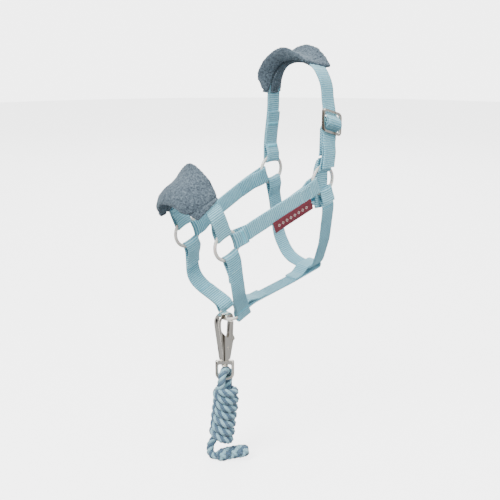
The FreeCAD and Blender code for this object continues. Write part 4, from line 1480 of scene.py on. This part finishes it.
# ------------------------------------------------------------------ stage and light
def backdrop_finish(name, glow):
    """Near-white seamless paper that holds its brightness."""
    paper = Finish(name, Specular_IOR_Level=0.1, Emission_Strength=glow,
                   Emission_Color=(1.0, 1.0, 1.0, 1.0))
    tooth = paper.grain(40.0, 3.0)
    shade = paper.shades(tooth, (0.3, (0.86, 0.86, 0.86)), (0.7, (0.9, 0.9, 0.9)))
    return paper.put(Base_Color=shade, Roughness=0.85 + tooth * 0.1)


FLOOR = cad_box[0][2] - 0.0005
deselect()
bpy.ops.mesh.primitive_plane_add(size=5.0, location=(0.0, 0.0, FLOOR))
floor = bpy.context.active_object
floor.name = "paper_floor"
bpy.ops.object.transform_apply(location=True, rotation=True, scale=True)
floor.data.materials.append(backdrop_finish("backdrop_floor", 3.3))
deselect()
bpy.ops.mesh.primitive_uv_sphere_add(segments=64, ring_count=32, radius=2.4)
dome = bpy.context.active_object
dome.name = "paper_dome"
bpy.ops.object.shade_smooth()
dome.data.materials.append(backdrop_finish("backdrop_dome", 4.1))
dome.visible_shadow = False
for sheet_of_paper in (floor, dome):
    sheet_of_paper.visible_diffuse = False
    sheet_of_paper.visible_glossy = False


CARD_AIM = (0.0, -0.05, -0.18)
LAMP_AIM = (0.0, -0.04, -0.12)


def card(name, place, size, glow):
    """A card outside the picture, black or glowing, which bright metal reflects."""
    deselect()
    bpy.ops.mesh.primitive_plane_add(size=1.0)
    piece = bpy.context.active_object
    piece.name = name
    piece.scale = (size[0], size[1], 1.0)
    piece.location = place
    piece.rotation_euler = (Vector(CARD_AIM) - Vector(place)).to_track_quat("-Z", "Y").to_euler()
    felt = Finish(name + "_felt", Roughness=0.95, Specular_IOR_Level=0.05,
                  Emission_Strength=glow, Emission_Color=(1.0, 0.98, 0.95, 1.0))
    nap = felt.grain(60.0)
    shade = felt.shades(nap, (0.3, (0.01, 0.01, 0.01)), (0.7, (0.02, 0.02, 0.02)))
    piece.data.materials.append(felt.put(Base_Color=shade))
    piece.visible_camera = False
    piece.visible_diffuse = False
    piece.visible_shadow = False


card("card_left", (-0.35, -0.55, -0.1), (0.24, 1.0), 0.0)
card("card_front", (0.42, -0.62, -0.1), (0.12, 1.0), 0.0)
card("card_right", (0.6, -0.02, -0.1), (0.26, 1.0), 0.0)
card("glow_left", (0.1, -0.72, -0.1), (0.24, 1.2), 1.9)
card("glow_right", (0.64, -0.36, -0.1), (0.22, 1.2), 1.9)


def soft_light(name, place, size, power):
    """An area light turned to the halter."""
    data = bpy.data.lights.new(name, "AREA")
    data.shape = "RECTANGLE"
    data.size = size[0]
    data.size_y = size[1]
    data.energy = power
    light = bpy.data.objects.new(name, data)
    light.location = place
    light.rotation_euler = (Vector(LAMP_AIM) - Vector(place)).to_track_quat("-Z", "Y").to_euler()
    bpy.context.scene.collection.objects.link(light)


soft_light("key", (0.1, -0.9, 0.8), (0.6, 0.6), 21.0)
soft_light("fill", (1.0, 0.1, 0.35), (0.7, 0.7), 7.0)
soft_light("top", (-0.1, 0.1, 1.2), (1.2, 1.2), 10.0)
soft_light("back", (-0.8, 0.7, 0.5), (0.8, 0.8), 5.0)

world = bpy.data.worlds.new("studio")
bpy.context.scene.world = world
world.use_nodes = True
world.node_tree.nodes["Background"].inputs["Color"].default_value = (0.92, 0.93, 0.94, 1.0)
world.node_tree.nodes["Background"].inputs["Strength"].default_value = 0.5
